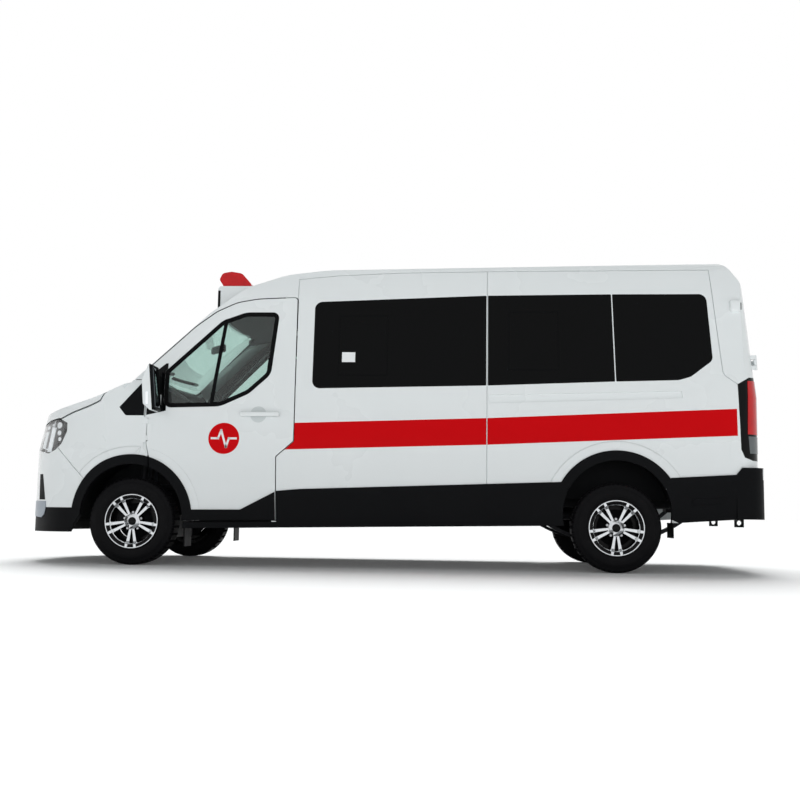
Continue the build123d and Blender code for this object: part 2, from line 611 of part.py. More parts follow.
def chassis_rail():
    """Left rail with its spring hangers and tow eye."""
    rail = block(FRONT_AXLE - 895, REAR_AXLE + 1130, -RAIL_OUTER, -RAIL_INNER, RAIL_BOTTOM, FLOOR_BOTTOM)
    rail += block(REAR_AXLE - 670, REAR_AXLE - 600, -640, -RAIL_OUTER, 440, FLOOR_BOTTOM)
    rail += block(REAR_AXLE + 640, REAR_AXLE + 710, -640, -RAIL_OUTER, 470, FLOOR_BOTTOM)
    eye = block(REAR_AXLE + 1010, REAR_AXLE + 1080, -455, -425, TOW_EYE_Z - 35, RAIL_BOTTOM)
    return rail + eye - rod(REAR_AXLE + 1045, TOW_EYE_Z, TOW_EYE_BORE / 2, -FAR, FAR)


def cross_members():
    """Members between the rails and the beam behind the front bumper."""
    beam = block(-FAR, FRONT_AXLE - 895, -700, 700, RAIL_BOTTOM, FLOOR_BOTTOM) & CAVITY
    members = [beam]
    for x in (FRONT_AXLE + 700, REAR_AXLE - 900, REAR_AXLE + 300, REAR_AXLE + 950):
        members.append(block(x, x + 80, -RAIL_INNER, RAIL_INNER, FLOOR_BOTTOM - 75, FLOOR_BOTTOM))
    return Compound(members)


def light_bar():
    """White housing on the cab roof and the red dome along it."""
    rows = [(540, 2060), (540, 2266, 20), (556, 2288, 8), (850, 2288, 8), (905, 2235)]
    base = slab(outline(front_of(rows)), -610, 610) - OUTER
    rows = [(582, 2288), (545, 2345, 25), (570, 2400, 40), (645, 2413, 60), (735, 2398, 60), (812, 2310, 20), (812, 2288)]
    return base, slab(outline(front_of(rows)), -600, 600)


def mudflap(x, top, bottom, inner):
    """Flap behind a left wheel."""
    return block(x, x + 10, -HALF_WIDTH + 40, -inner, bottom, top)


def tyre(x, side):
    """Plain tyre on one wheel."""
    half = TYRE_WIDTH / 2
    rows = [
        (-half + 16, BEAD_RADIUS), (-half + 16, BEAD_RADIUS + 14), (-half, BEAD_RADIUS + 60),
        (-half + 10, TYRE_RADIUS - 20), (-half + 34, TYRE_RADIUS),
    ]
    rows += [(-y, *rest) for y, *rest in reversed(rows)]
    profile = Plane.YZ * outline(rows)
    return Pos(x, side * HALF_TRACK, TYRE_RADIUS) * revolve(profile, Axis.Y, 360)


def rim(x, side):
    """Alloy wheel with five split spokes, its hub and its brake disc."""
    half = TYRE_WIDTH / 2 - 16
    barrel = [
        (-half, BEAD_RADIUS), (-half, BEAD_RADIUS + 13), (-half - 9, BEAD_RADIUS + 13), (-half - 9, BEAD_RADIUS - 25),
        (half + 9, BEAD_RADIUS - 25), (half + 9, BEAD_RADIUS + 13), (half, BEAD_RADIUS + 13), (half, BEAD_RADIUS),
    ]
    wheel = revolve(Plane.YZ * outline(barrel), Axis.Y, 360)
    disc = rod(0, 0, BEAD_RADIUS - 24, 38, 78)
    for index in range(5):
        pocket = [(60, 19, 8), (164, 66, 12), (177, 0, 100), (164, -66, 12), (60, -19, 8)]
        slit = [(66, 4, 3), (174, 18, 6), (174, -18, 6), (66, -4, 3)]
        for rows, turn in ((pocket, 36), (slit, 0)):
            tool = slab(outline(rows), 0, 100)
            disc -= tool.rotate(Axis.Y, 90 + turn + 72 * index)
    wheel += disc + rod(0, 0, 62, BRAKE_FACE, 40) + rod(0, 0, BRAKE_RADIUS, BRAKE_FACE, BRAKE_FACE + 22)
    wheel -= rod(0, 0, SPINDLE_RADIUS + RUNNING, BRAKE_FACE - 10, BRAKE_FACE + 62)
    wheel = wheel if side > 0 else flip(wheel)
    return Pos(x, side * HALF_TRACK, TYRE_RADIUS) * wheel


def knuckle():
    """Left upright with its strut on the kingpin's line, stub and caliper."""
    foot, along, length = kingpin()
    line = Plane(origin=foot, z_dir=along)
    shape = line * Pos(0, 0, length / 2) * Cylinder(28, length)
    stub_end = HALF_TRACK + BRAKE_FACE - HUB_GAP
    shape += rod(FRONT_AXLE, TYRE_RADIUS, 48, -stub_end, -KINGPIN_FOOT + 40)
    shape += rod(FRONT_AXLE, TYRE_RADIUS, SPINDLE_RADIUS, -stub_end - 60, -stub_end)
    arm_y = HALF_TRACK + BRAKE_FACE
    caliper = block(FRONT_AXLE - 172, FRONT_AXLE - 90, -arm_y - 48, -arm_y + 34, 290, 390)
    slot = block(FRONT_AXLE - 172 + 12, FRONT_AXLE, -arm_y - 22 - HUB_GAP, -arm_y + HUB_GAP, 0, 600)
    bridge = block(FRONT_AXLE - 120, FRONT_AXLE, -arm_y + HUB_GAP, -arm_y + 34, 310, 370)
    return shape + (caliper - slot) + bridge - line * Cylinder(KINGPIN_RADIUS + RUNNING, 88)


NODES = {}
BUCKET, COVER = headlamp()
NODES["roof"] = roof()
NODES["side_panel_left"] = side_panel()
NODES["sliding_door_right"] = flip(side_panel())
NODES["rear_quarters"] = both(rear_quarter())
NODES["rear_corners"] = both(rear_corner())
NODES["tail_lamps"] = both(tail_lamp())
NODES["fenders"] = both(fender())
NODES["front_bumper"] = front_bumper()
NODES["front_valance"] = front_valance()
NODES["grille"] = grille()
NODES["headlamp_housings"] = both(BUCKET)
NODES["headlamp_lenses"] = both(COVER)
NODES["hood"] = hood()
NODES["windscreen"] = GLASS_SHELL & windscreen_slab()
panes = [GLASS_SHELL & left_slab(rows) for rows in (FRONT_PANE, MIDDLE_PANE, REAR_PANE)]
NODES["side_glass"] = both(panes[0] + panes[1] + panes[2])
NODES["cladding"] = both(cladding())
for side in ("left", "right"):
    turn = flip if side == "right" else lambda shape: shape
    shell, glass, trim = (turn(shape) for shape in front_door())
    NODES[f"front_door_{side}"] = shell
    NODES[f"front_door_glass_{side}"] = glass
    NODES[f"front_door_trim_{side}"] = trim
    NODES[f"mirror_{side}"] = turn(mirror_housing())
    leaf, pane = (turn(shape) for shape in rear_door())
    NODES[f"rear_door_{side}"] = leaf
    NODES[f"rear_door_glass_{side}"] = pane
    NODES[f"knuckle_{side}"] = turn(knuckle())
    hand = 1 if side == "right" else -1
    for place, x in (("front", FRONT_AXLE), ("rear", REAR_AXLE)):
        NODES[f"rim_{place}_{side}"] = rim(x, hand)
        NODES[f"tyre_{place}_{side}"] = tyre(x, hand)
NODES["floor"] = floor()
NODES["firewall"] = firewall()
NODES["partition"] = partition()
NODES["wheel_liners"] = wheel_liners()
NODES["dashboard"] = dashboard()
NODES["steering_wheel"] = steering_wheel()
NODES["seats"] = seat(-700, -200) + seat(-20, 860)
NODES["engine"] = engine()
NODES["radiator"] = block(FRONT_AXLE - 895, FRONT_AXLE - 835, -395, 395, 480, 1000)
NODES["front_suspension"] = front_suspension()
NODES["rear_axle"] = rear_axle()
springs = both(leaf_spring())
NODES["leaf_springs"] = springs
NODES["rear_bumper"] = rear_bumper()
NODES["chassis_rails"] = both(chassis_rail()) - NODES["rear_bumper"] - springs
NODES["cross_members"] = cross_members()
NODES["fuel_tank"] = block(B_SEAM + 300, B_SEAM + 1400, -840, -500, 340, FLOOR_BOTTOM)
base, dome = light_bar()
NODES["light_bar_base"] = base
NODES["light_bar_lens"] = dome
NODES["mudflaps"] = both(mudflap(FRONT_AXLE + 420, 336, 150, 780)) + both(mudflap(REAR_AXLE + 415, 385, 270, 760))

os.makedirs("parts", exist_ok=True)
for name, shape in NODES.items():
    export_step(shape, f"parts/{name}.step")
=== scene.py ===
"""Dresses a packed van ambulance: finishes, livery, glazing, lamps, wheels, seats and trim.

Lengths are metres in the model's own frame: the nose points to -X, the left side to -Y, the ground is z = 0.
"""

import json
import logging
import math
from collections import Counter
from dataclasses import dataclass, field, replace
from enum import Enum
from typing import Callable, Optional, Sequence

import bmesh
import bpy
from bmesh.types import BMesh, BMFace, BMVert
from mathutils import Matrix, Vector
from mathutils.bvhtree import BVHTree


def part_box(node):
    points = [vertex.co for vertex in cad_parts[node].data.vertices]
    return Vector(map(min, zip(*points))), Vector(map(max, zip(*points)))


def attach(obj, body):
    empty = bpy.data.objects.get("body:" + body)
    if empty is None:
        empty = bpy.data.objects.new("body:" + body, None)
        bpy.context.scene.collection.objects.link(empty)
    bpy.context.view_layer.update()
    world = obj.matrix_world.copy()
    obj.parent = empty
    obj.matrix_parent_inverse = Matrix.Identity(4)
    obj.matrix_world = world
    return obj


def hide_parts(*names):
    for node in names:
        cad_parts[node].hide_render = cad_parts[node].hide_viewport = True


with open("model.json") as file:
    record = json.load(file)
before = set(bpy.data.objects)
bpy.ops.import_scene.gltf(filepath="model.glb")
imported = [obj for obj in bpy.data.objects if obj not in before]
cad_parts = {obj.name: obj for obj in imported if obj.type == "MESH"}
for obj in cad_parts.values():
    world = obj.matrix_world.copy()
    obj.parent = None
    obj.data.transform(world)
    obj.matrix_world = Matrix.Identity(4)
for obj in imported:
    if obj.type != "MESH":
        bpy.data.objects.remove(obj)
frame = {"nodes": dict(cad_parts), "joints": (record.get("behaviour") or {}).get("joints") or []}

LOG = logging.getLogger("ambulance")
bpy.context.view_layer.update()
JOINTS = {joint["name"]: joint for joint in frame["joints"]}
FRONT_AXLE = JOINTS["wheel_front_left_spin"]["pos_m"][0]
REAR_AXLE = JOINTS["wheel_rear_left_spin"]["pos_m"][0]
WHEEL_RADIUS = JOINTS["wheel_front_left_spin"]["pos_m"][2]
B_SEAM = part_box("side_panel_left")[0].x
MID_SEAM = REAR_AXLE - 0.985
MM = 0.001
ORIGIN = Vector((0.0, 0.0, 0.0))
SCREEN_FACING = Vector((-0.7, 0.0, 0.7))

Point = tuple[float, float]
Span = tuple[float, float, float, float]


class Side(Enum):
    """The two sides of the van, with the sign of their Y direction."""

    LEFT = -1
    RIGHT = 1

    @property
    def label(self) -> str:
        """The side's name as the nodes and bodies write it."""
        return self.name.lower()

    @property
    def outward(self) -> Vector:
        """The direction away from the van on this side."""
        return Vector((0.0, self.value, 0.0))


class View(Enum):
    """Flat views that an outline can be drawn in, with the axes that its two numbers follow."""

    SIDE = (0, 2)
    FRONT = (1, 2)

    def point(self, first: float, second: float) -> Vector:
        """The point of the view's own plane at two numbers."""
        place = Vector((0.0, 0.0, 0.0))
        place[self.value[0]] = first
        place[self.value[1]] = second
        return place

    @property
    def sight(self) -> Vector:
        """The direction along which the view is drawn."""
        return Vector((0.0, 1.0, 0.0)) if self is View.SIDE else Vector((1.0, 0.0, 0.0))


def linear(code: str) -> tuple[float, float, float, float]:
    """Turns an sRGB hex colour to linear light.

    Args:
        code: The colour as #RRGGBB.

    Returns:
        Linear red, green, blue and an alpha of 1.
    """
    channels = [int(code[at:at + 2], 16) / 255 for at in (1, 3, 5)]
    steps = [value / 12.92 if value <= 0.04045 else ((value + 0.055) / 1.055) ** 2.4 for value in channels]
    return steps[0], steps[1], steps[2], 1.0


def add_node(tree: bpy.types.NodeTree, kind: str, links: Optional[dict] = None, **settings) -> bpy.types.Node:
    """Adds a node with its settings and links.

    Args:
        tree: The node tree to add to.
        kind: The node's class name.
        links: Input names with the socket or value that each takes.
        **settings: Properties set on the node itself.

    Returns:
        The new node.
    """
    made = tree.nodes.new(kind)
    for name, value in settings.items():
        setattr(made, name, value)
    for name, value in (links or {}).items():
        if isinstance(value, bpy.types.NodeSocket):
            tree.links.new(value, made.inputs[name])
        else:
            made.inputs[name].default_value = value
    return made


@dataclass(frozen=True)
class Finish:
    """A surface as its maker would order it.

    Attributes:
        name: What the material is and how its surface was made.
        colour: sRGB hex colour.
        slot: The record's material slot; not used.
        roughness: Middle of the roughness range.
        metallic: 1 for bare metal.
        ior: Index of refraction.
        coat: Weight of a clear coat.
        transmission: Share of light that passes through.
        patch_mm: Size of the patches in which tone and gloss drift.
        tone_drift: Share by which the colour darkens in those patches.
        gloss_drift: Share by which the roughness varies.
        grain_mm: Spacing of the surface's grain.
        grain_depth_mm: Depth of the grain.
        edge_mm: Radius that the edges catch light with.
        glow: Strength of light given off.
        shine: Specular level, 0.5 for a plain dielectric.
    """

    name: str
    colour: str
    slot: str
    roughness: float
    metallic: float = 0.0
    ior: float = 1.5
    coat: float = 0.0
    transmission: float = 0.0
    patch_mm: float = 250.0
    tone_drift: float = 0.04
    gloss_drift: float = 0.08
    grain_mm: float = 2.0
    grain_depth_mm: float = 0.0
    edge_mm: float = 0.0
    glow: float = 0.0
    shine: float = 0.5

    def relief(self, tree: bpy.types.NodeTree, place: bpy.types.NodeSocket) -> bpy.types.NodeSocket:
        """Height of the surface's grain, from 0 to 1."""
        links = {"Vector": place, "Scale": 1.0 / (self.grain_mm * MM), "Detail": 2.0}
        return add_node(tree, "ShaderNodeTexNoise", links).outputs["Fac"]

    def material(self) -> bpy.types.Material:
        """Makes the material on first use.

        Returns:
            The finish's material.
        """
        known = bpy.data.materials.get(self.name)
        if known:
            return known
        made = bpy.data.materials.new(self.name)
        made.use_nodes = True
        tree = made.node_tree
        shader = next(node for node in tree.nodes if node.type == "BSDF_PRINCIPLED")
        place = add_node(tree, "ShaderNodeTexCoord").outputs["Object"]
        links = {"Vector": place, "Scale": 1.0 / (self.patch_mm * MM), "Detail": 4.0}
        patches = add_node(tree, "ShaderNodeTexNoise", links).outputs["Fac"]
        base = linear(self.colour)
        dark = (*(channel * (1.0 - self.tone_drift) for channel in base[:3]), 1.0)
        tone = add_node(tree, "ShaderNodeMix", data_type="RGBA")
        tree.links.new(patches, tone.inputs[0])
        tone.inputs[6].default_value = base
        tone.inputs[7].default_value = dark
        tree.links.new(tone.outputs[2], shader.inputs["Base Color"])
        gloss = add_node(tree, "ShaderNodeMapRange", {
            "Value": patches, "From Min": 0.3, "From Max": 0.7,
            "To Min": self.roughness * (1.0 - self.gloss_drift), "To Max": self.roughness * (1.0 + self.gloss_drift),
        })
        tree.links.new(gloss.outputs[0], shader.inputs["Roughness"])
        self.set_normal(tree, place, shader)
        fixed = {"Metallic": self.metallic, "IOR": self.ior, "Coat Weight": self.coat, "Coat Roughness": 0.03,
                 "Transmission Weight": self.transmission, "Emission Strength": self.glow,
                 "Specular IOR Level": self.shine}
        for name, value in fixed.items():
            shader.inputs[name].default_value = value
        if self.glow:
            shader.inputs["Emission Color"].default_value = base
        return made

    def set_normal(self, tree: bpy.types.NodeTree, place: bpy.types.NodeSocket, shader: bpy.types.Node) -> None:
        """Rounds the edges in the shading and adds the grain's relief.

        Args:
            tree: The material's nodes.
            place: Object coordinates.
            shader: The node that takes the normal.
        """
        normal = None
        if self.edge_mm:
            normal = add_node(tree, "ShaderNodeBevel", {"Radius": self.edge_mm * MM}, samples=4).outputs[0]
        if self.grain_depth_mm:
            links = {"Height": self.relief(tree, place), "Distance": self.grain_depth_mm * MM, "Strength": 1.0}
            if normal:
                links["Normal"] = normal
            normal = add_node(tree, "ShaderNodeBump", links).outputs[0]
        if normal:
            tree.links.new(normal, shader.inputs["Normal"])


@dataclass(frozen=True)
class MouldedGrain(Finish):
    """Plastic from a grained mould: small rounded cells."""

    def relief(self, tree: bpy.types.NodeTree, place: bpy.types.NodeSocket) -> bpy.types.NodeSocket:
        """Height of the moulded cells."""
        links = {"Vector": place, "Scale": 1.0 / (self.grain_mm * MM)}
        return add_node(tree, "ShaderNodeTexVoronoi", links).outputs["Distance"]


@dataclass(frozen=True)
class Turned(Finish):
    """Metal cut on a lathe: rings about an axis along Y.

    Attributes:
        axis_x: The axis' place along X, in metres.
        axis_z: The axis' height, in metres.
    """

    axis_x: float = 0.0
    axis_z: float = 0.0

    def relief(self, tree: bpy.types.NodeTree, place: bpy.types.NodeSocket) -> bpy.types.NodeSocket:
        """Height of the tool's rings."""
        links = {"Vector": place, "Location": (-self.axis_x, 0.0, -self.axis_z)}
        centred = add_node(tree, "ShaderNodeMapping", links).outputs[0]
        links = {"Vector": centred, "Scale": 1.0 / (self.grain_mm * MM), "Distortion": 0.0}
        rings = add_node(tree, "ShaderNodeTexWave", links, wave_type="RINGS", rings_direction="Y")
        return rings.outputs["Fac"]


@dataclass(frozen=True)
class Woven(Finish):
    """Cloth: warp and weft threads at one spacing."""

    def relief(self, tree: bpy.types.NodeTree, place: bpy.types.NodeSocket) -> bpy.types.NodeSocket:
        """Height of the crossed threads."""
        heights = []
        for direction in ("X", "Z"):
            links = {"Vector": place, "Scale": 1.0 / (self.grain_mm * MM), "Distortion": 0.6}
            wave = add_node(tree, "ShaderNodeTexWave", links, bands_direction=direction)
            heights.append(wave.outputs["Fac"])
        return add_node(tree, "ShaderNodeMath", {0: heights[0], 1: heights[1]}, operation="MAXIMUM").outputs[0]


# Two-pack enamel over steel: clear gloss, with the faint peel of a sprayed coat, drawn coarse enough to show
PAINT = Finish("white_enamel_sprayed", "#E6EBEC", "white_paint", 0.28, coat=0.8, patch_mm=900, tone_drift=0.025,
               grain_mm=9.0, grain_depth_mm=0.02, edge_mm=3.0)
# Unpainted polypropylene from an etched mould: dull, greyish where it catches light
CLADDING = MouldedGrain("black_polypropylene_grained", "#0C0D0F", "dark_plastic", 0.5, patch_mm=400, tone_drift=0.2,
                        grain_mm=5.0, grain_depth_mm=0.12, edge_mm=4.0, shine=0.07)
# ABS out of a polished mould: deep black with clear reflections
PIANO_BLACK = Finish("black_abs_polished", "#060708", "gloss_black", 0.12, patch_mm=200, edge_mm=2.0, shine=0.12)
# Float glass, faintly green
CLEAR_GLASS = Finish("float_glass_clear", "#CFE2DD", "clear_glass", 0.015, ior=1.45, transmission=1.0,
                     patch_mm=700, tone_drift=0.02, gloss_drift=0.3, shine=0.2)
# Privacy glass dyed in the melt: nearly black, with sharp reflections
DARK_GLASS = Finish("privacy_glass_dyed", "#040506", "dark_glass", 0.03, patch_mm=600, tone_drift=0.3,
                    gloss_drift=0.4, shine=0.08)
# Moulded polycarbonate cover
CLEAR_LENS = Finish("polycarbonate_clear", "#F4F7F8", "clear_lens", 0.02, ior=1.58, transmission=1.0, patch_mm=120,
                    shine=0.15)
# Dyed acrylic, with prisms moulded behind
RED_LENS = Finish("acrylic_red", "#D2040F", "red_lens", 0.08, coat=0.15, ior=1.49, patch_mm=60, tone_drift=0.3,
                  grain_mm=12.0, grain_depth_mm=0.25, edge_mm=2.0, shine=0.25)
# Cast aluminium wheels under black lacquer
BLACK_ALLOY = Finish("cast_aluminium_black_lacquer", "#08080A", "alloy", 0.25, patch_mm=90, tone_drift=0.2,
                     edge_mm=2.0, shine=0.12)
# Forged steel and grey iron with a film of dirt
IRON = Finish("grey_iron_rough", "#2B2C2F", "steel", 0.5, metallic=0.6, patch_mm=60, tone_drift=0.35, grain_mm=3.0,
              grain_depth_mm=0.2, shine=0.2)
ZINC = Finish("steel_zinc_plated", "#B9BBBE", "steel", 0.3, metallic=1.0, patch_mm=12, edge_mm=0.8)
# Electrophoretic black on frame and axles
CHASSIS = Finish("steel_black_dip", "#111214", "chassis_black", 0.45, patch_mm=150, tone_drift=0.25, grain_mm=4.0,
                 grain_depth_mm=0.08, edge_mm=2.0, shine=0.1)
# Carbon-filled rubber with a bloom
RUBBER = Finish("tyre_rubber_moulded", "#0E0E10", "tyre", 0.6, patch_mm=70, tone_drift=0.3, grain_mm=1.5,
                grain_depth_mm=0.05, shine=0.09)
SEAL = Finish("epdm_seal_extruded", "#090A0B", "rubber", 0.5, patch_mm=100, tone_drift=0.2, edge_mm=1.5, shine=0.06)
# Slush-moulded skin of the cab
CABIN = MouldedGrain("cab_skin_slush_moulded", "#1D1F22", "interior", 0.6, patch_mm=150, tone_drift=0.15, grain_mm=4.0,
                     grain_depth_mm=0.15, edge_mm=3.0, shine=0.12)
# Polyester weave, drawn four times coarser than its threads so that it shows
FABRIC = Woven("seat_cloth_woven", "#2E3136", "seat_fabric", 0.85, patch_mm=80, tone_drift=0.2, grain_mm=3.2,
               grain_depth_mm=0.25)
# Cast vinyl film: flat red, softer than the paint beside it
RED_FILM = Finish("red_vinyl_film", "#CF040D", "white_paint", 0.3, patch_mm=500, tone_drift=0.06, shine=0.08)
WHITE_FILM = Finish("white_vinyl_film", "#EEF1F2", "white_paint", 0.3, coat=0.4, patch_mm=500, tone_drift=0.04)
# Vacuum-metallised reflectors
CHROME = Finish("reflector_metallised", "#E6E8EA", "alloy", 0.08, metallic=1.0, patch_mm=40, gloss_drift=0.4)
SATIN_SILVER = Finish("trim_satin_silver", "#8D959E", "alloy", 0.32, metallic=0.9, patch_mm=60, edge_mm=2.0)
LIGHT_GUIDE = Finish("light_guide_frosted", "#F2F5F7", "clear_lens", 0.35, patch_mm=40, glow=0.25)
# Chromium mirror, darker than silver against glare
MIRROR = Finish("mirror_chromium", "#6A7276", "clear_glass", 0.02, metallic=1.0, patch_mm=200)
# Smoked acrylic over the reversing lamp
SMOKED_LENS = Finish("acrylic_smoked", "#6E7375", "clear_lens", 0.15, ior=1.49, patch_mm=60, tone_drift=0.3,
                     grain_mm=12.0, grain_depth_mm=0.25, shine=0.2)
# The enamel on sheets too thin for rounded edges
THIN_PAINT = replace(PAINT, name="white_enamel_sheet", edge_mm=0.0)
# The same enamel darkened: painted shade for the hollow of a finger dish, which the door doesn't have
DISH_SHADE_ENAMEL = Finish("white_enamel_shaded", "#CBD2D3", "white_paint", 0.35, coat=0.5, patch_mm=120, tone_drift=0.03)
# Needled felt over the cab's ceiling
LINING = Finish("cab_lining_felted", "#4A4E52", "interior", 0.9, patch_mm=60, tone_drift=0.15, grain_mm=3.0,
                grain_depth_mm=0.2)


def merged(node: str) -> BMesh:
    """A copy of a node's mesh with its loose triangles joined.

    Args:
        node: The node's name.

    Returns:
        The copy.
    """
    shape = bmesh.new()
    shape.from_mesh(frame["nodes"][node].data)
    bmesh.ops.remove_doubles(shape, verts=shape.verts, dist=0.01 * MM)
    return shape


def publish(name: str, shape: BMesh, finish: Finish, body: str, crease: float = 32.0,
            others: Sequence[Finish] = ()) -> bpy.types.Object:
    """Makes a shape a piece of the van.

    Args:
        name: The piece's name.
        shape: Its mesh, which is freed.
        finish: Its first finish.
        body: The body that it rides on.
        crease: Angle in degrees above which an edge stays sharp.
        others: Further finishes, for faces with a material index.

    Returns:
        The piece.
    """
    mesh = bpy.data.meshes.new(name)
    for face in shape.faces:
        face.smooth = True
    shape.to_mesh(mesh)
    shape.free()
    mesh.set_sharp_from_angle(angle=math.radians(crease))
    for each in (finish, *others):
        mesh.materials.append(each.material())
    piece = bpy.data.objects.new(name, mesh)
    bpy.context.scene.collection.objects.link(piece)
    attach(piece, body)
    LOG.info("%s on %s: %d faces", name, body, len(mesh.polygons))
    return piece


def thicken(piece: bpy.types.Object, thickness: float, soft: bool = False) -> bpy.types.Object:
    """Gives a sheet a thickness on its outer side.

    Args:
        piece: The sheet.
        thickness: Its thickness.
        soft: Whether its rim is shaded round.

    Returns:
        The same piece.
    """
    uses = Counter(key for face in piece.data.polygons for key in face.edge_keys)
    for edge in piece.data.edges:
        if uses[edge.key] == 1 and not soft:
            edge.use_edge_sharp = True
    solid = piece.modifiers.new("thickness", "SOLIDIFY")
    solid.thickness = thickness
    solid.offset = 1.0
    return piece


def kept_faces(node: str, keep: Callable[[BMFace], bool]) -> BMesh:
    """The faces of a node that pass a test.

    Args:
        node: The node's name.
        keep: Tells whether a face stays.

    Returns:
        A mesh of those faces only.
    """
    shape = merged(node)
    shape.normal_update()
    bmesh.ops.delete(shape, geom=[face for face in shape.faces if not keep(face)], context="FACES")
    return shape


def outer_faces(node: str, facing: Vector, least: float = 0.4) -> BMesh:
    """The faces of a node that look one way, on that side of the van.

    Args:
        node: The node's name.
        facing: The direction.
        least: Smallest cosine between a face's normal and the direction.

    Returns:
        A mesh of those faces only.
    """
    def outside(face: BMFace) -> bool:
        """Whether a face looks that way and is on that side."""
        return face.normal.dot(facing) >= least and face.calc_center_median().dot(facing) >= 0.0

    return kept_faces(node, outside)


def cut(shape: BMesh, place: Vector, normal: Vector, drop_outer: bool = True) -> None:
    """Cuts a shape at a plane and drops one side.

    Args:
        shape: The mesh to cut.
        place: A point of the plane.
        normal: The plane's normal.
        drop_outer: Whether the side that the normal points to goes, or else the other one.
    """
    geometry = [*shape.verts, *shape.edges, *shape.faces]
    bmesh.ops.bisect_plane(shape, geom=geometry, dist=1e-6, plane_co=place, plane_no=normal,
                           clear_outer=drop_outer, clear_inner=not drop_outer)


def trim_convex(shape: BMesh, corners: Sequence[Point], view: View = View.SIDE) -> None:
    """Cuts a shape to a convex outline.

    Args:
        shape: The mesh to cut.
        corners: Points of the view's two axes, in either turn.
        view: The view that the outline is drawn in.
    """
    points = [view.point(*corner) for corner in corners]
    middle = sum(points, ORIGIN) / len(points)
    for start, end in zip(points, [*points[1:], points[0]]):
        normal = (end - start).cross(view.sight)
        if normal.dot(middle - start) > 0.0:
            normal.negate()
        cut(shape, start, normal)


@dataclass(frozen=True)
class Laid:
    """How a sheet lies on a node.

    Attributes:
        facing: The direction that the covered faces look in.
        lift: The sheet's thickness.
        base: How far its back stands off the node, below 0 for a sheet inside a lamp.
        least: Smallest cosine between a covered face's normal and the direction.
        view: The view that its outline is drawn in.
        roll: Width over which its edge rolls off, 0 for a sharp one.
    """

    facing: Vector
    lift: float = 0.6 * MM
    base: float = 0.1 * MM
    least: float = 0.4
    view: View = View.SIDE
    roll: float = 0.0


def film(name: str, node: str, corners: Sequence[Point], finish: Finish, body: str, laid: Laid) -> bpy.types.Object:
    """A thin sheet laid on a node's outer face.

    Args:
        name: The piece's name.
        node: The node that carries it.
        corners: Its convex outline.
        finish: Its finish.
        body: The body that it rides on.
        laid: How it lies on the node.

    Returns:
        The piece.
    """
    shape = outer_faces(node, laid.facing, laid.least)
    trim_convex(shape, corners, laid.view)
    bmesh.ops.translate(shape, verts=shape.verts, vec=laid.facing.normalized() * laid.base)
    if laid.roll:
        inset(shape, laid.roll)
    return thicken(publish(name, shape, finish, body), laid.lift, bool(laid.roll))


def inset(shape: BMesh, width: float) -> list[BMFace]:
    """Adds a ring of faces of even width along a sheet's edge.

    Args:
        shape: The sheet.
        width: The ring's width.

    Returns:
        The ring's faces.
    """
    made = bmesh.ops.inset_region(shape, faces=shape.faces[:], use_boundary=True, use_even_offset=True,
                                  thickness=width)
    return made["faces"]


def band(name: str, shape: BMesh, width: float, finish: Finish, body: str, lift: float) -> bpy.types.Object:
    """A border of even width along the edge of a sheet.

    Args:
        name: The piece's name.
        shape: The sheet.
        width: The border's width.
        finish: Its finish.
        body: The body that it rides on.
        lift: Its thickness.

    Returns:
        The piece.
    """
    kept = set(inset(shape, width))
    bmesh.ops.delete(shape, geom=[face for face in shape.faces if face not in kept], context="FACES")
    return thicken(publish(name, shape, finish, body), lift)


def skin_point(node: str, start: Vector, towards: Vector) -> Vector:
    """Where a line meets a node's outside.

    Args:
        node: The node's name.
        start: A point outside the node.
        towards: The line's direction.

    Returns:
        The first point on the node.
    """
    shape = merged(node)
    hit = BVHTree.FromBMesh(shape).ray_cast(start, towards)[0]
    shape.free()
    if hit is None:
        raise ValueError(f"{node} isn't met from {start}")
    return hit


def joined(shapes: Sequence[BMesh]) -> BMesh:
    """One mesh of several, which are freed."""
    whole = bmesh.new()
    for shape in shapes:
        mesh = bpy.data.meshes.new("part")
        shape.to_mesh(mesh)
        shape.free()
        whole.from_mesh(mesh)
        bpy.data.meshes.remove(mesh)
    return whole


def moved(shape: BMesh, place: Vector, turn: Matrix) -> BMesh:
    """Turns a shape about the origin and carries it to its place."""
    bmesh.ops.transform(shape, matrix=Matrix.Translation(place) @ turn, verts=shape.verts)
    return shape


def rounded_box(size: Vector, centre: Vector, radius: float, segments: int = 3) -> BMesh:
    """A box with round edges.

    Args:
        size: Its three lengths.
        centre: Its middle.
        radius: The rounding.
        segments: Steps in the rounding.

    Returns:
        The mesh.
    """
    shape = bmesh.new()
    bmesh.ops.create_cube(shape, size=1.0, matrix=Matrix.Translation(centre) @ Matrix.Diagonal((*size, 1.0)))
    bmesh.ops.bevel(shape, geom=shape.edges[:], offset=radius, offset_type="OFFSET", affect="EDGES",
                    segments=segments, profile=0.5, material=-1)
    return shape


def turned(profile: Sequence[Point], centre: Vector, axis: Vector, steps: int = 48) -> BMesh:
    """A turned shape from a profile.

    Args:
        profile: Points of height along the axis and radius.
        centre: Where the axis' zero height is.
        axis: The axis' direction.
        steps: Steps in a full turn.

    Returns:
        The mesh, closed where the profile starts and ends on the axis.
    """
    shape = bmesh.new()
    axis = axis.normalized()
    across = axis.orthogonal().normalized()
    verts = [shape.verts.new(centre + axis * height + across * radius) for height, radius in profile]
    edges = [shape.edges.new(pair) for pair in zip(verts, verts[1:])]
    bmesh.ops.spin(shape, geom=[*verts, *edges], cent=centre, axis=axis, angle=2 * math.pi, steps=steps,
                   use_merge=True)
    bmesh.ops.remove_doubles(shape, verts=shape.verts, dist=0.01 * MM)
    bmesh.ops.recalc_face_normals(shape, faces=shape.faces)
    return shape


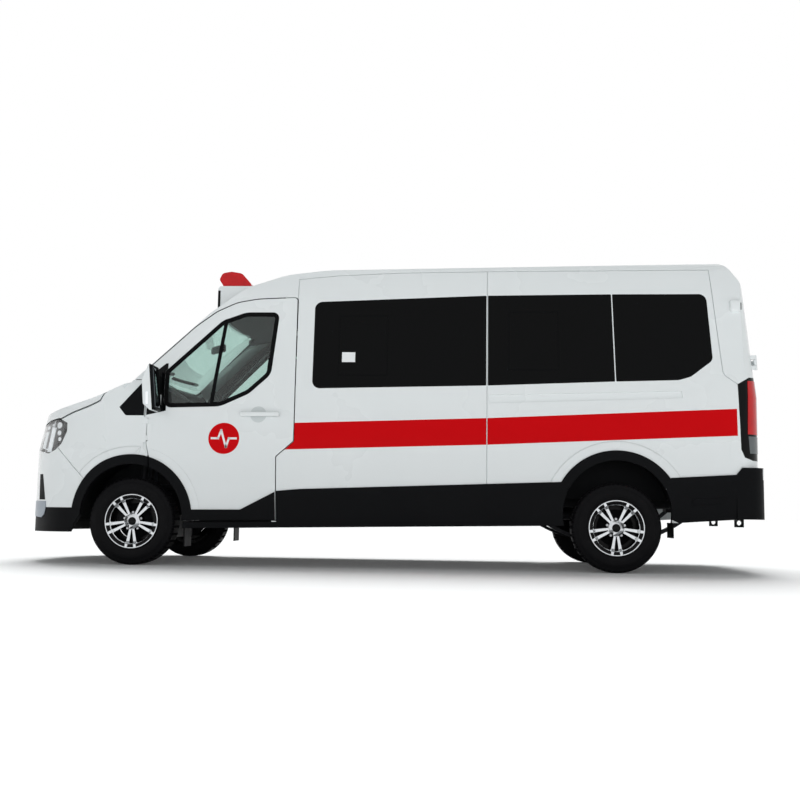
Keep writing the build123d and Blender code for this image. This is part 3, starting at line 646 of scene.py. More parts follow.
def rectangle(x0: float, z0: float, x1: float, z1: float) -> list[Point]:
    """Corners of an upright rectangle between two opposite ones."""
    return [(x0, z0), (x1, z0), (x1, z1), (x0, z1)]


def circle(x: float, z: float, radius: float, steps: int) -> list[Point]:
    """Corners of a round outline."""
    turns = [2 * math.pi * step / steps for step in range(steps)]
    return [(x + radius * math.cos(turn), z + radius * math.sin(turn)) for turn in turns]


def strip(start: Point, end: Point, half: float, capped: bool = False) -> list[Point]:
    """Corners of a straight strip.

    Args:
        start: Where its middle line starts.
        end: Where that line ends.
        half: Half the strip's width.
        capped: Whether its ends run on by as much.

    Returns:
        The four corners.
    """
    (x0, z0), (x1, z1) = start, end
    wide = Vector((x1 - x0, z1 - z0)).normalized() * half
    on_x, on_z = wide if capped else (0.0, 0.0)
    return [(x0 - on_x + wide.y, z0 - on_z - wide.x), (x1 + on_x + wide.y, z1 + on_z - wide.x),
            (x1 + on_x - wide.y, z1 + on_z + wide.x), (x0 - on_x - wide.y, z0 - on_z + wide.x)]


def stations(axle: float, corners: Sequence[Point]) -> list[Point]:
    """Moves corners drawn from an axle to their place."""
    return [(axle + x, z) for x, z in corners]


def diagonal(along: float, side: Side) -> Vector:
    """A level direction between an end of the van and one side."""
    return Vector((along, side.value, 0.0)).normalized()


def dress(finish: Finish, *nodes: str) -> None:
    """Gives nodes a finish.

    Args:
        finish: The finish.
        *nodes: The nodes' names, where {} stands for the left and the right one.
    """
    for pattern in nodes:
        for name in dict.fromkeys(pattern.format(side.label) for side in Side):
            slots = frame["nodes"][name].data.materials
            slots.clear()
            slots.append(finish.material())


@dataclass
class Bodywork:
    """The nodes that keep their own shape, by finish."""

    finishes: tuple[tuple[Finish, tuple[str, ...]], ...] = (
        (PAINT, ("roof", "side_panel_left", "sliding_door_right", "rear_quarters", "rear_corners", "fenders",
                 "front_bumper", "hood", "light_bar_base", "front_door_{}", "rear_door_{}", "mirror_{}")),
        (CLADDING, ("front_valance", "cladding", "rear_bumper", "wheel_liners", "fuel_tank", "front_door_trim_{}")),
        (CABIN, ("dashboard", "partition", "firewall", "steering_wheel")),
        (CHASSIS, ("floor", "chassis_rails", "cross_members", "front_suspension")),
        (IRON, ("engine", "radiator", "rear_axle", "leaf_springs", "knuckle_{}")),
        (SEAL, ("mudflaps",)),
        (PIANO_BLACK, ("grille", "headlamp_housings", "tail_lamps")),
        (CLEAR_GLASS, ("windscreen", "front_door_glass_{}")),
        (DARK_GLASS, ("side_glass", "rear_door_glass_{}")),
        (CLEAR_LENS, ("headlamp_lenses",)),
        (RED_LENS, ("light_bar_lens",)),
    )

    def build(self) -> None:
        """Finishes those nodes."""
        for finish, nodes in self.finishes:
            dress(finish, *nodes)


@dataclass
class Livery:
    """Red bands along the sides and a roundel with a pulse line on each front door.

    The three lows are heights of the band's lower edge: at the cab seam, before the rear wheel and at the lamp.
    """

    front_low: float = 0.906
    middle_low: float = 0.9605
    rear_low: float = 1.0465
    height: float = 0.206
    rear_end: float = REAR_AXLE + 0.906
    gap: float = 0.004
    badge: Point = (FRONT_AXLE + 0.722, 0.991)
    badge_radius: float = 0.122
    beat: tuple[Point, ...] = ((-0.095, 0.0), (-0.045, 0.0), (-0.022, 0.062), (0.018, -0.066), (0.04, 0.0),
                               (0.095, 0.0))
    stroke: float = 0.008
    stroke_lift: float = 1.2 * MM

    def build(self) -> None:
        """Lays the films on both sides."""
        for side in Side:
            self.build_bands(side)
            self.build_badge(side)

    def build_bands(self, side: Side) -> None:
        """Lays the two lengths of band on one side."""
        front_node = "side_panel_left" if side is Side.LEFT else "sliding_door_right"
        lengths = {
            front_node: ((B_SEAM + 2 * self.gap, self.front_low), (MID_SEAM - self.gap, self.middle_low)),
            "rear_quarters": ((MID_SEAM + self.gap, self.middle_low), (self.rear_end, self.rear_low)),
        }
        for node, ((x0, z0), (x1, z1)) in lengths.items():
            corners = [(x0, z0), (x1, z1), (x1, z1 + self.height), (x0, z0 + self.height)]
            film(f"band_{node}_{side.label}", node, corners, RED_FILM, "body", Laid(side.outward))

    def build_badge(self, side: Side) -> None:
        """Lays the roundel and its pulse line on one door."""
        node, body = f"front_door_{side.label}", f"door_front_{side.label}"
        x, z = self.badge
        film(f"roundel_{side.label}", node, circle(x, z, self.badge_radius, 48), RED_FILM, body, Laid(side.outward))
        laid = Laid(side.outward, self.stroke_lift)
        for index, (start, end) in enumerate(zip(self.beat, self.beat[1:])):
            corners = [(x + a, z + b) for a, b in strip(start, end, self.stroke, capped=True)]
            film(f"pulse_{side.label}_{index}", node, corners, WHITE_FILM, body, laid)


@dataclass
class Glazing:
    """Black borders, window bars and sliding-pane frames on the glass.

    Panes and sticker are x, z of the lower front corner, then of the upper rear one. The mirror's corner is
    drawn from the front axle.
    """

    border: float = 0.034
    screen_border: float = 0.045
    lift: float = 1.5 * MM
    frame_width: float = 0.011
    panes: tuple[Span, ...] = ((-0.369, 1.496, 0.024, 1.986), (0.962, 1.543, 1.357, 2.020))
    sticker: Span = (-0.336, 1.603, -0.232, 1.682)
    bar_foot: Point = (FRONT_AXLE + 0.600, 1.20)
    bar_top: Point = (FRONT_AXLE + 0.699, 1.96)
    bar_half: float = 0.014
    mirror_corner: tuple[Point, ...] = ((0.096, 1.170), (0.096, 1.470), (0.232, 1.585), (0.250, 1.585),
                                        (0.250, 1.205))

    def build(self) -> None:
        """Adds the trim of every window."""
        for side in Side:
            self.build_door_window(side)
            self.build_panes(side)
        shape = outer_faces("windscreen", SCREEN_FACING, 0.3)
        band("windscreen_border", shape, self.screen_border, PIANO_BLACK, "body", self.lift)
        film("window_sticker", "side_glass", rectangle(*self.sticker), WHITE_FILM, "body", Laid(Side.LEFT.outward))

    def build_panes(self, side: Side) -> None:
        """Frames the sliding panes of one side."""
        for index, pane in enumerate(self.panes):
            shape = outer_faces("side_glass", side.outward)
            trim_convex(shape, rectangle(*pane))
            bmesh.ops.dissolve_limit(shape, angle_limit=math.radians(1.0), verts=shape.verts, edges=shape.edges)
            band(f"pane_frame_{side.label}_{index}", shape, self.frame_width, SEAL, "body", self.lift)

    def build_door_window(self, side: Side) -> None:
        """Adds the seal, the upright bar and the mirror's corner of one door window."""
        node, body = f"front_door_glass_{side.label}", f"door_front_{side.label}"
        band(f"door_window_seal_{side.label}", outer_faces(node, side.outward), self.border, SEAL, body, 2 * self.lift)
        (foot_x, foot_z), (top_x, top_z), half = self.bar_foot, self.bar_top, self.bar_half
        corners = [(foot_x - half, foot_z), (foot_x + half, foot_z), (top_x + half, top_z), (top_x - half, top_z)]
        film(f"window_bar_{side.label}", node, corners, SEAL, body, Laid(side.outward, 4 * self.lift))
        film(f"mirror_corner_{side.label}", f"front_door_{side.label}", stations(FRONT_AXLE, self.mirror_corner),
             PIANO_BLACK, body, Laid(side.outward, self.lift))


@dataclass
class Wheel:
    """Tyre with tread, alloy rim with machined faces, nuts and cap.

    Reaches are measured outwards from the wheel's middle. The sections of edge, flange, cap and nut are heights
    along the axle and radii, the edge's from the lip and the cap's from the spokes' face.
    """

    end: str
    side: Side
    width: float = 0.215
    bead: float = 0.205
    steps: int = 108
    shoulder: float = 0.036
    sunk: float = 6 * MM
    face: float = 0.078
    lip: float = 0.1005
    brake_reach: float = -0.03
    brake_radius: float = 0.15
    pitch: int = 72
    edge: tuple[Point, ...] = ((0.0, 0.203), (2 * MM, 0.204), (2 * MM, 0.210), (0.0, 0.211), (0.0, 0.203))
    flange: tuple[Point, ...] = ((-0.010, 0.140), (-0.008, 0.140), (-0.008, 0.181), (-0.010, 0.181), (-0.010, 0.140))
    cap: tuple[Point, ...] = ((0.0, 0.0), (0.009, 0.0), (0.009, 0.024), (0.006, 0.03), (0.0, 0.032))
    nut: tuple[Point, ...] = ((0.0, 0.0), (0.0, 0.0105), (0.030, 0.010), (0.030, 0.007), (0.033, 0.0))
    nut_circle: float = 0.0685
    nut_depth: float = 0.045

    @property
    def tag(self) -> str:
        """The wheel's name in nodes."""
        return f"{self.end}_{self.side.label}"

    @property
    def body(self) -> str:
        """The wheel's body."""
        return f"wheel_{self.tag}"

    @property
    def centre(self) -> Vector:
        """The wheel's middle."""
        return Vector(JOINTS[f"wheel_{self.tag}_spin"]["pos_m"])

    def build(self) -> None:
        """Makes the wheel's pieces."""
        self.build_tyre()
        self.build_rim()
        self.build_nuts()
        shape = turned(self.flange, self.centre, self.side.outward, 64)
        publish(f"rim_flange_{self.tag}", shape, BLACK_ALLOY, self.body)

    def build_tyre(self) -> None:
        """Spins the tyre's section and cuts its tread."""
        half, bead, top = self.width / 2, self.bead, WHEEL_RADIUS
        outer = [(half - 0.016, bead), (half - 0.014, bead + 0.013), (half - 0.006, bead + 0.022),
                 (half - 0.001, bead + 0.05), (half, bead + 0.07), (half - 0.002, bead + 0.088),
                 (half - 0.004, bead + 0.09), (half - 0.008, top - 0.03), (half - 0.012, top - 0.016),
                 (half - 0.022, top - 0.006), (half - 0.034, top - 0.001)]
        grooves = []
        for at in (0.054, 0.019):
            grooves += [(at + 0.004, top), (at + 0.003, top - 0.008), (at - 0.003, top - 0.008), (at - 0.004, top)]
        half_rows = [*outer, *grooves]
        rows = [*half_rows, *((-y, r) for y, r in reversed(half_rows)), half_rows[0]]
        shape = turned(rows, self.centre, Vector((0.0, 1.0, 0.0)), self.steps)
        self.cut_tread(shape)
        tyre = publish(f"tyre_tread_{self.tag}", shape, RUBBER, self.body, 40.0)
        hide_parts(f"tyre_{self.tag}")

    def cut_tread(self, shape: BMesh) -> None:
        """Sinks every third step of the ribs and every second of the shoulders."""
        cuts = []
        for face in shape.faces:
            offset = face.calc_center_median() - self.centre
            below = WHEEL_RADIUS - math.hypot(offset.x, offset.z)
            step = round(math.atan2(offset.z, offset.x) / (2 * math.pi) * self.steps - 0.5)
            if abs(offset.y) > self.width / 2 - self.shoulder:
                sunk = below < 0.012 and step % 2 == 0
            else:
                sunk = below < 0.003 and step % 3 == 0
            if sunk:
                cuts.append(face)
        bmesh.ops.inset_individual(shape, faces=cuts, thickness=1.2 * MM, depth=-self.sunk)

    def build_rim(self) -> None:
        """Splits the rim's faces into lacquered, machined and brake iron, and adds its bright edge."""
        outward, centre = self.side.outward, self.centre
        shape = merged(f"rim_{self.tag}")
        shape.normal_update()
        for face in shape.faces:
            offset = face.calc_center_median() - centre
            reach = offset.dot(outward)
            if reach < self.brake_reach and math.hypot(offset.x, offset.z) < self.brake_radius:
                face.material_index = 2
            elif abs(reach - self.face) < 2 * MM and face.normal.dot(outward) > 0.9:
                face.material_index = 1
        machined = Turned(f"aluminium_machined_{self.tag}", "#D5D8DB", "alloy", 0.22, metallic=1.0, coat=0.3,
                          patch_mm=60, tone_drift=0.05, grain_mm=4.0, grain_depth_mm=0.02,
                          axis_x=centre.x, axis_z=centre.z)
        rim = publish(f"rim_finished_{self.tag}", shape, BLACK_ALLOY, self.body, 30.0, (machined, IRON))
        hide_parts(f"rim_{self.tag}")
        edge = turned([(self.lip + height, radius) for height, radius in self.edge], centre, outward, 96)
        trim = [edge, *(self.spoke_end(turn) for turn in range(0, 360, self.pitch))]
        publish(f"rim_edge_{self.tag}", joined(trim), machined, self.body, 30.0)

    def spoke_end(self, turn: float) -> BMesh:
        """The two machined ramps that carry a split spoke from its face up to the rim's edge.

        Args:
            turn: The spoke's turn from straight down, in degrees.

        Returns:
            The ramps' mesh.
        """
        face, edge = self.face, self.lip + 1.5 * MM
        # Radius and reach of each pair of corners, and their two angles from the spoke's middle
        rows = ((0.158, face + 0.5 * MM, 6.4, 13.8), (0.179, face, 6.4, 13.8), (0.181, edge, 6.8, 13.4),
                (0.204, edge, 7.5, 12.8), (0.204, self.lip, 7.5, 12.8))
        ramps = []
        for hand in (-1, 1):
            shape = bmesh.new()
            for radius, reach, *angles in rows:
                for angle in angles:
                    spin = Matrix.Rotation(math.radians(turn + hand * angle), 4, "Y")
                    shape.verts.new(self.centre + self.side.outward * reach + spin @ Vector((0.0, 0.0, -radius)))
            bmesh.ops.convex_hull(shape, input=shape.verts)
            ramps.append(shape)
        return joined(ramps)

    def build_nuts(self) -> None:
        """Adds the five nuts and the cap."""
        outward, centre = self.side.outward, self.centre
        cap = turned(self.cap, centre + outward * self.face, outward, 32)
        publish(f"hub_cap_{self.tag}", cap, PIANO_BLACK, self.body)
        nuts = []
        for angle in range(0, 360, self.pitch):
            turn = Matrix.Rotation(math.radians(angle), 4, "Y")
            spot = centre + outward * (self.face - self.nut_depth) + turn @ Vector((0.0, 0.0, self.nut_circle))
            nuts.append(turned(self.nut, spot, outward, 6))
        publish(f"wheel_nuts_{self.tag}", joined(nuts), ZINC, self.body)


@dataclass
class Arches:
    """Black lips inside the wheel openings and the raised flares over them.

    Corner and seam are two corners of x from the axle and z. The line of seam_foot and seam_lean keeps the
    fender's flare off the door's seam.
    """

    radius: float = 0.412
    front_height: float = 0.376
    rear_height: float = 0.443
    flare: float = 0.548
    rear_flare: float = 0.555
    flare_lift: float = 4 * MM
    flare_roll: float = 0.014
    corner: Span = (-0.400, 0.595, -0.356, 0.655)
    seam: Span = (0.0, 0.70, 0.2, 0.852)
    seam_foot: float = -0.178
    seam_lean: float = 0.286
    door_start: float = 0.134

    def build(self) -> None:
        """Adds the lips and flares."""
        for node in ("fenders", "front_bumper"):
            self.build_lip(node, "body", FRONT_AXLE, self.front_height)
        for node in ("side_panel_left", "sliding_door_right", "rear_quarters"):
            self.build_lip(node, "body", REAR_AXLE, self.rear_height)
        for side in Side:
            self.build_lip(f"front_door_{side.label}", f"door_front_{side.label}", FRONT_AXLE, self.front_height)
            self.build_flares(side)
            self.build_seam(side)

    def build_flares(self, side: Side) -> None:
        """Lays the flares of one side and the corner of trim beside the rear one."""
        laid = Laid(side.outward, self.flare_lift, least=0.85, roll=self.flare_roll)
        outline = circle(FRONT_AXLE, self.front_height, self.flare, 192)
        ahead = [(x, z) for x, z in outline if x - FRONT_AXLE < self.seam_foot + z * self.seam_lean]
        film(f"flare_fender_{side.label}", "fenders", ahead, PAINT, "body", laid)
        behind = [(x, z) for x, z in outline if x - FRONT_AXLE > self.door_start]
        film(f"flare_door_{side.label}", f"front_door_{side.label}", behind, PAINT, f"door_front_{side.label}",
             replace(laid, roll=0.0))
        outline = circle(REAR_AXLE, self.rear_height, self.rear_flare, 96)
        film(f"flare_quarter_{side.label}", "rear_quarters", outline, PAINT, "body", laid)
        film(f"arch_corner_{side.label}", "rear_quarters", stations(REAR_AXLE, rectangle(*self.corner)), CLADDING,
             "body", Laid(side.outward, self.flare_lift + 1 * MM))

    def build_lip(self, node: str, body: str, x: float, z: float) -> None:
        """Covers the cut edge of a panel round a wheel opening."""
        def on_edge(face: BMFace) -> bool:
            """Whether a face is on the opening's edge."""
            offset = face.calc_center_median() - Vector((x, 0.0, z))
            offset.y = 0.0
            return abs(offset.length - self.radius) <= 12 * MM and face.normal.dot(offset.normalized()) <= -0.7

        shape = kept_faces(node, on_edge)
        if shape.faces:
            thicken(publish(f"arch_lip_{node}", shape, CLADDING, body), 1 * MM)
        else:
            shape.free()

    def build_seam(self, side: Side) -> None:
        """Blackens the fender's rear edge where it shows between the two lengths of trim."""
        def rear_edge(face: BMFace) -> bool:
            """Whether a face of this side looks back."""
            return face.normal.x >= 0.6 and face.calc_center_median().y * side.value >= 0.0

        shape = kept_faces("fenders", rear_edge)
        trim_convex(shape, stations(FRONT_AXLE, rectangle(*self.seam)))
        thicken(publish(f"arch_seam_{side.label}", shape, CLADDING, "body"), 0.3 * MM)


@dataclass
class Lamps:
    """What shows behind the headlamps' covers and on the rear lamps, as x from the nearer axle and z."""

    depth: float = -0.020
    guides: tuple[tuple[Point, ...], ...] = (
        ((-0.842, 0.905), (-0.806, 0.880), (-0.782, 1.045), (-0.818, 1.050)),
        ((-0.764, 0.880), (-0.720, 0.880), (-0.694, 1.075), (-0.738, 1.082)),
        ((-0.842, 0.905), (-0.806, 0.880), (-0.720, 0.880), (-0.716, 0.908)),
    )
    reflectors: tuple[tuple[float, float, float], ...] = (
        (-0.790, 1.082, 0.022), (-0.722, 1.108, 0.024), (-0.655, 1.092, 0.026), (-0.650, 1.030, 0.020),
        (-0.640, 0.980, 0.016),
    )
    red: tuple[Point, ...] = ((0.985, 1.060), (0.995, 1.470), (1.150, 1.480), (1.150, 1.060))
    clear: tuple[Point, ...] = ((1.000, 0.915), (0.990, 1.045), (1.150, 1.045), (1.150, 0.915))

    def build(self) -> None:
        """Fits out the lamps of both sides."""
        for side in Side:
            laid = Laid(diagonal(-0.8, side), 6 * MM, self.depth, 0.1)
            for index, corners in enumerate(self.guides):
                film(f"light_guide_{side.label}_{index}", "headlamp_lenses", stations(FRONT_AXLE, corners),
                     LIGHT_GUIDE, "body", laid)
            for index, (x, z, radius) in enumerate(self.reflectors):
                film(f"reflector_{side.label}_{index}", "headlamp_lenses", circle(FRONT_AXLE + x, z, radius, 24),
                     CHROME, "body", laid)
            laid = Laid(diagonal(0.6, side), 3 * MM, least=0.2)
            for name, corners, finish in (("red", self.red, RED_LENS), ("clear", self.clear, SMOKED_LENS)):
                film(f"rear_lens_{name}_{side.label}", "tail_lamps", stations(REAR_AXLE, corners), finish, "body", laid)


@dataclass
class Nose:
    """Bumper slots and silver corners, as x from the front axle and z, and wipers, as y and z."""

    slot: tuple[Point, ...] = ((-0.835, 0.500), (-0.752, 0.500), (-0.798, 0.705), (-0.842, 0.705))
    silver_top: tuple[Point, ...] = ((-0.960, 0.440), (-0.738, 0.440), (-0.742, 0.488), (-0.960, 0.492))
    silver_foot: tuple[Point, ...] = ((-0.960, 0.440), (-0.738, 0.440), (-0.752, 0.385), (-0.790, 0.358),
                                      (-0.960, 0.372))
    blades: tuple[tuple[Point, Point], ...] = (((-0.70, 1.560), (-0.10, 1.610)), ((-0.02, 1.585), (0.60, 1.600)))
    blade_half: float = 0.009

    def build(self) -> None:
        """Adds the trim of the nose."""
        trims = (("bumper_slot", "front_bumper", self.slot, SEAL, 1 * MM),
                 ("silver_corner_top", "front_bumper", self.silver_top, SATIN_SILVER, 4 * MM),
                 ("silver_corner_foot", "front_valance", self.silver_foot, SATIN_SILVER, 4 * MM))
        for side in Side:
            for name, node, corners, finish, lift in trims:
                film(f"{name}_{side.label}", node, stations(FRONT_AXLE, corners), finish, "body",
                     Laid(diagonal(-1.0, side), lift, least=0.2))
        laid = Laid(SCREEN_FACING, 14 * MM, 1 * MM, 0.2, View.FRONT)
        for index, (start, end) in enumerate(self.blades):
            film(f"wiper_blade_{index}", "windscreen", strip(start, end, self.blade_half), SEAL, "body", laid)


@dataclass
class Tail:
    """Hinge covers on the rear pillars, a handle, and reflectors and cladding lines as x from the rear axle and z."""

    hinge_low: Vector = field(default_factory=lambda: Vector((2.672, 0.0, 2.012)))
    hinge_high: Vector = field(default_factory=lambda: Vector((2.752, 0.0, 2.108)))
    hinge_reach: float = 0.030
    reflector: Span = (1.100, 0.715, 1.190, 0.800)
    groove: tuple[Point, ...] = ((0.560, 0.520), (0.772, 0.535), (0.815, 0.578), (0.560, 0.563))
    handle: Point = (0.085, 1.25)
    handle_size: Vector = field(default_factory=lambda: Vector((0.030, 0.070, 0.190)))

    def build(self) -> None:
        """Adds the trim of the tail."""
        for side in Side:
            self.build_hinge(side)
            film(f"rear_reflector_{side.label}", "rear_bumper", stations(REAR_AXLE, rectangle(*self.reflector)),
                 WHITE_FILM, "body", Laid(diagonal(0.9, side), 2 * MM, least=0.8))
            film(f"cladding_step_{side.label}", "cladding", stations(REAR_AXLE, self.groove), CLADDING, "body",
                 Laid(side.outward, 5 * MM))
        y, z = self.handle
        spot = skin_point("rear_door_right", Vector((4.0, y, z)), Vector((-1.0, 0.0, 0.0)))
        grip = rounded_box(self.handle_size, spot + Vector((0.012, 0.0, 0.0)), 0.010)
        publish("rear_door_handle", grip, PIANO_BLACK, "door_rear_right")

    def build_hinge(self, side: Side) -> None:
        """Puts the cover and its black end on one rear pillar."""
        middle = (self.hinge_low + self.hinge_high) / 2
        spot = skin_point("rear_corners", Vector((middle.x, side.value * 2.0, middle.z)), -side.outward)
        size = self.hinge_high - self.hinge_low
        centre = Vector((middle.x, spot.y, middle.z))
        cover = rounded_box(Vector((size.x, 2 * self.hinge_reach, size.z)), centre, 0.014)
        publish(f"hinge_cover_{side.label}", cover, PAINT, "body")
        end = centre + Vector((size.x / 2, -side.value * 0.006, 0.0))
        publish(f"hinge_end_{side.label}", rounded_box(Vector((0.018, 0.040, size.z * 0.6)), end, 0.006), SEAL, "body")


@dataclass
class LightBar:
    """Dark panel across the front of the light bar's housing, as y and z, and the seal under its dome."""

    panel: tuple[Point, ...] = ((-0.575, 2.088), (0.575, 2.088), (0.560, 2.250), (-0.560, 2.250))
    wrap: float = 0.020
    seal_shift: Point = (0.018, 0.004)
    seal_margin: Point = (0.045, 0.02)
    seal_height: float = 0.016

    def build(self) -> None:
        """Adds the panel and seal."""
        laid = Laid(Vector((-1.0, 0.0, 0.0)), 4 * MM, least=0.3, view=View.FRONT)
        film("light_bar_panel", "light_bar_base", self.panel, PIANO_BLACK, "body", laid)
        front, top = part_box("light_bar_base")[0].x, self.panel[2][1]
        corners = rectangle(front - 0.01, 2.0, front + self.wrap, top)
        for side in Side:
            film(f"light_bar_panel_{side.label}", "light_bar_base", corners, PIANO_BLACK, "body",
                 Laid(side.outward, 3 * MM))
        low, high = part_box("light_bar_lens")
        size = Vector((high.x - low.x - self.seal_margin[0], high.y - low.y - self.seal_margin[1], self.seal_height))
        centre = Vector(((low.x + high.x) / 2 + self.seal_shift[0], 0.0, low.z + self.seal_shift[1]))
        publish("light_bar_seal", rounded_box(size, centre, 0.004), SEAL, "body")


@dataclass
class Cab:
    """Lining of the cab and the mirror on its windscreen."""

    mirror: Vector = field(default_factory=lambda: Vector((-1.555, 0.0, 1.850)))
    mirror_size: Vector = field(default_factory=lambda: Vector((0.034, 0.240, 0.068)))
    mirror_turn: float = 40.0
    rear: float = B_SEAM + 0.05

    def build(self) -> None:
        """Adds the lining and the mirror."""
        def ceiling(face: BMFace) -> bool:
            """Whether a face of the roof looks down near the cab."""
            return face.normal.z <= -0.2 and face.calc_center_median().x <= self.rear + 0.6

        shape = kept_faces("roof", ceiling)
        trim_convex(shape, rectangle(FRONT_AXLE, 1.0, self.rear, 3.0))
        thicken(publish("headliner", shape, LINING, "body"), 3 * MM)
        turn = Matrix.Rotation(math.radians(self.mirror_turn), 4, "Z")
        glass = moved(rounded_box(self.mirror_size, ORIGIN, 0.012), self.mirror, turn)
        publish("inside_mirror", glass, PIANO_BLACK, "body")


@dataclass(frozen=True)
class Pad:
    """One padded piece of a seat place, with its middle from the front axle; no width means the place's."""

    kind: str
    depth: float
    width: Optional[float]
    height: float
    x: float
    z: float
    radius: float
    leans: bool


@dataclass
class Seats:
    """Driver's seat and double passenger seat: plinths, cushions, backs and head restraints.

    A plinth is its length, height, and its middle as x from the front axle and z. No point of a pad swells by
    more than swell.
    """

    widths: tuple[tuple[str, float, float], ...] = (("driver", -0.70, -0.20), ("passenger", -0.02, 0.86))
    pads: tuple[Pad, ...] = (
        Pad("cushion", 0.44, None, 0.105, 0.875, 0.962, 0.035, leans=False),
        Pad("back", 0.10, None, 0.64, 1.155, 1.375, 0.035, leans=True),
        Pad("head_pad", 0.075, 0.25, 0.14, 1.203, 1.790, 0.028, leans=True),
    )
    plinth: Span = (0.47, 0.26, 0.94, 0.772)
    lean: float = 7.0
    voxel: float = 0.014
    swell: float = 0.012
    pressure: float = 4.0
    frames: int = 20
    gap: float = 0.012

    def build(self) -> None:
        """Makes the seats and has them stand for the plain ones."""
        plinths = []
        length, height, x, z = self.plinth
        for name, low, high in self.widths:
            middle, width = (low + high) / 2, high - low
            size = Vector((length, width - 0.06, height))
            plinths.append(rounded_box(size, Vector((FRONT_AXLE + x, middle, z)), 0.02))
            places = 1 if width < 0.6 else 2
            share = width / places
            for index in range(places):
                self.build_place(f"{name}_{index}", low + share * (index + 0.5), share - 2 * self.gap)
        base = publish("seat_plinths", joined(plinths), CABIN, "body")
        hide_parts("seats")

    def build_place(self, name: str, middle: float, width: float) -> None:
        """Makes the pads of one place."""
        for each in self.pads:
            size = Vector((each.depth, each.width or width, each.height))
            turn = Matrix.Rotation(math.radians(self.lean), 4, "Y") if each.leans else Matrix.Identity(4)
            place = Vector((FRONT_AXLE + each.x, middle, each.z))
            shape = moved(rounded_box(size, ORIGIN, each.radius, 4), place, turn)
            pad = publish(f"seat_{each.kind}_{name}", shape, FABRIC, "body", 180.0)
            self.blow_up(pad)

    def blow_up(self, pad: bpy.types.Object) -> None:
        """Swells a pad by a cloth simulation with pressure inside and keeps the result."""
        scene = bpy.context.scene
        even = pad.modifiers.new("even", "REMESH")
        even.mode = "VOXEL"
        even.voxel_size = self.voxel
        self.keep_shape(pad)
        before = [vertex.co.copy() for vertex in pad.data.vertices]
        cover = pad.modifiers.new("cover", "CLOTH")
        cover.settings.use_pressure = True
        cover.settings.uniform_pressure_force = self.pressure
        cover.settings.effector_weights.gravity = 0.0
        for step in range(1, self.frames + 1):
            scene.frame_set(step)
        self.keep_shape(pad)
        scene.frame_set(1)
        for vertex, start in zip(pad.data.vertices, before):
            shift = vertex.co - start
            if shift.length > self.swell:
                vertex.co = start + shift.normalized() * self.swell
        for face in pad.data.polygons:
            face.use_smooth = True
        smooth = pad.modifiers.new("round", "SUBSURF")
        smooth.levels = 1
        smooth.render_levels = 1

    def keep_shape(self, pad: bpy.types.Object) -> None:
        """Turns what a pad's modifiers show into its own mesh."""
        graph = bpy.context.evaluated_depsgraph_get()
        mesh = bpy.data.meshes.new_from_object(pad.evaluated_get(graph))
        pad.modifiers.clear()
        pad.data = mesh


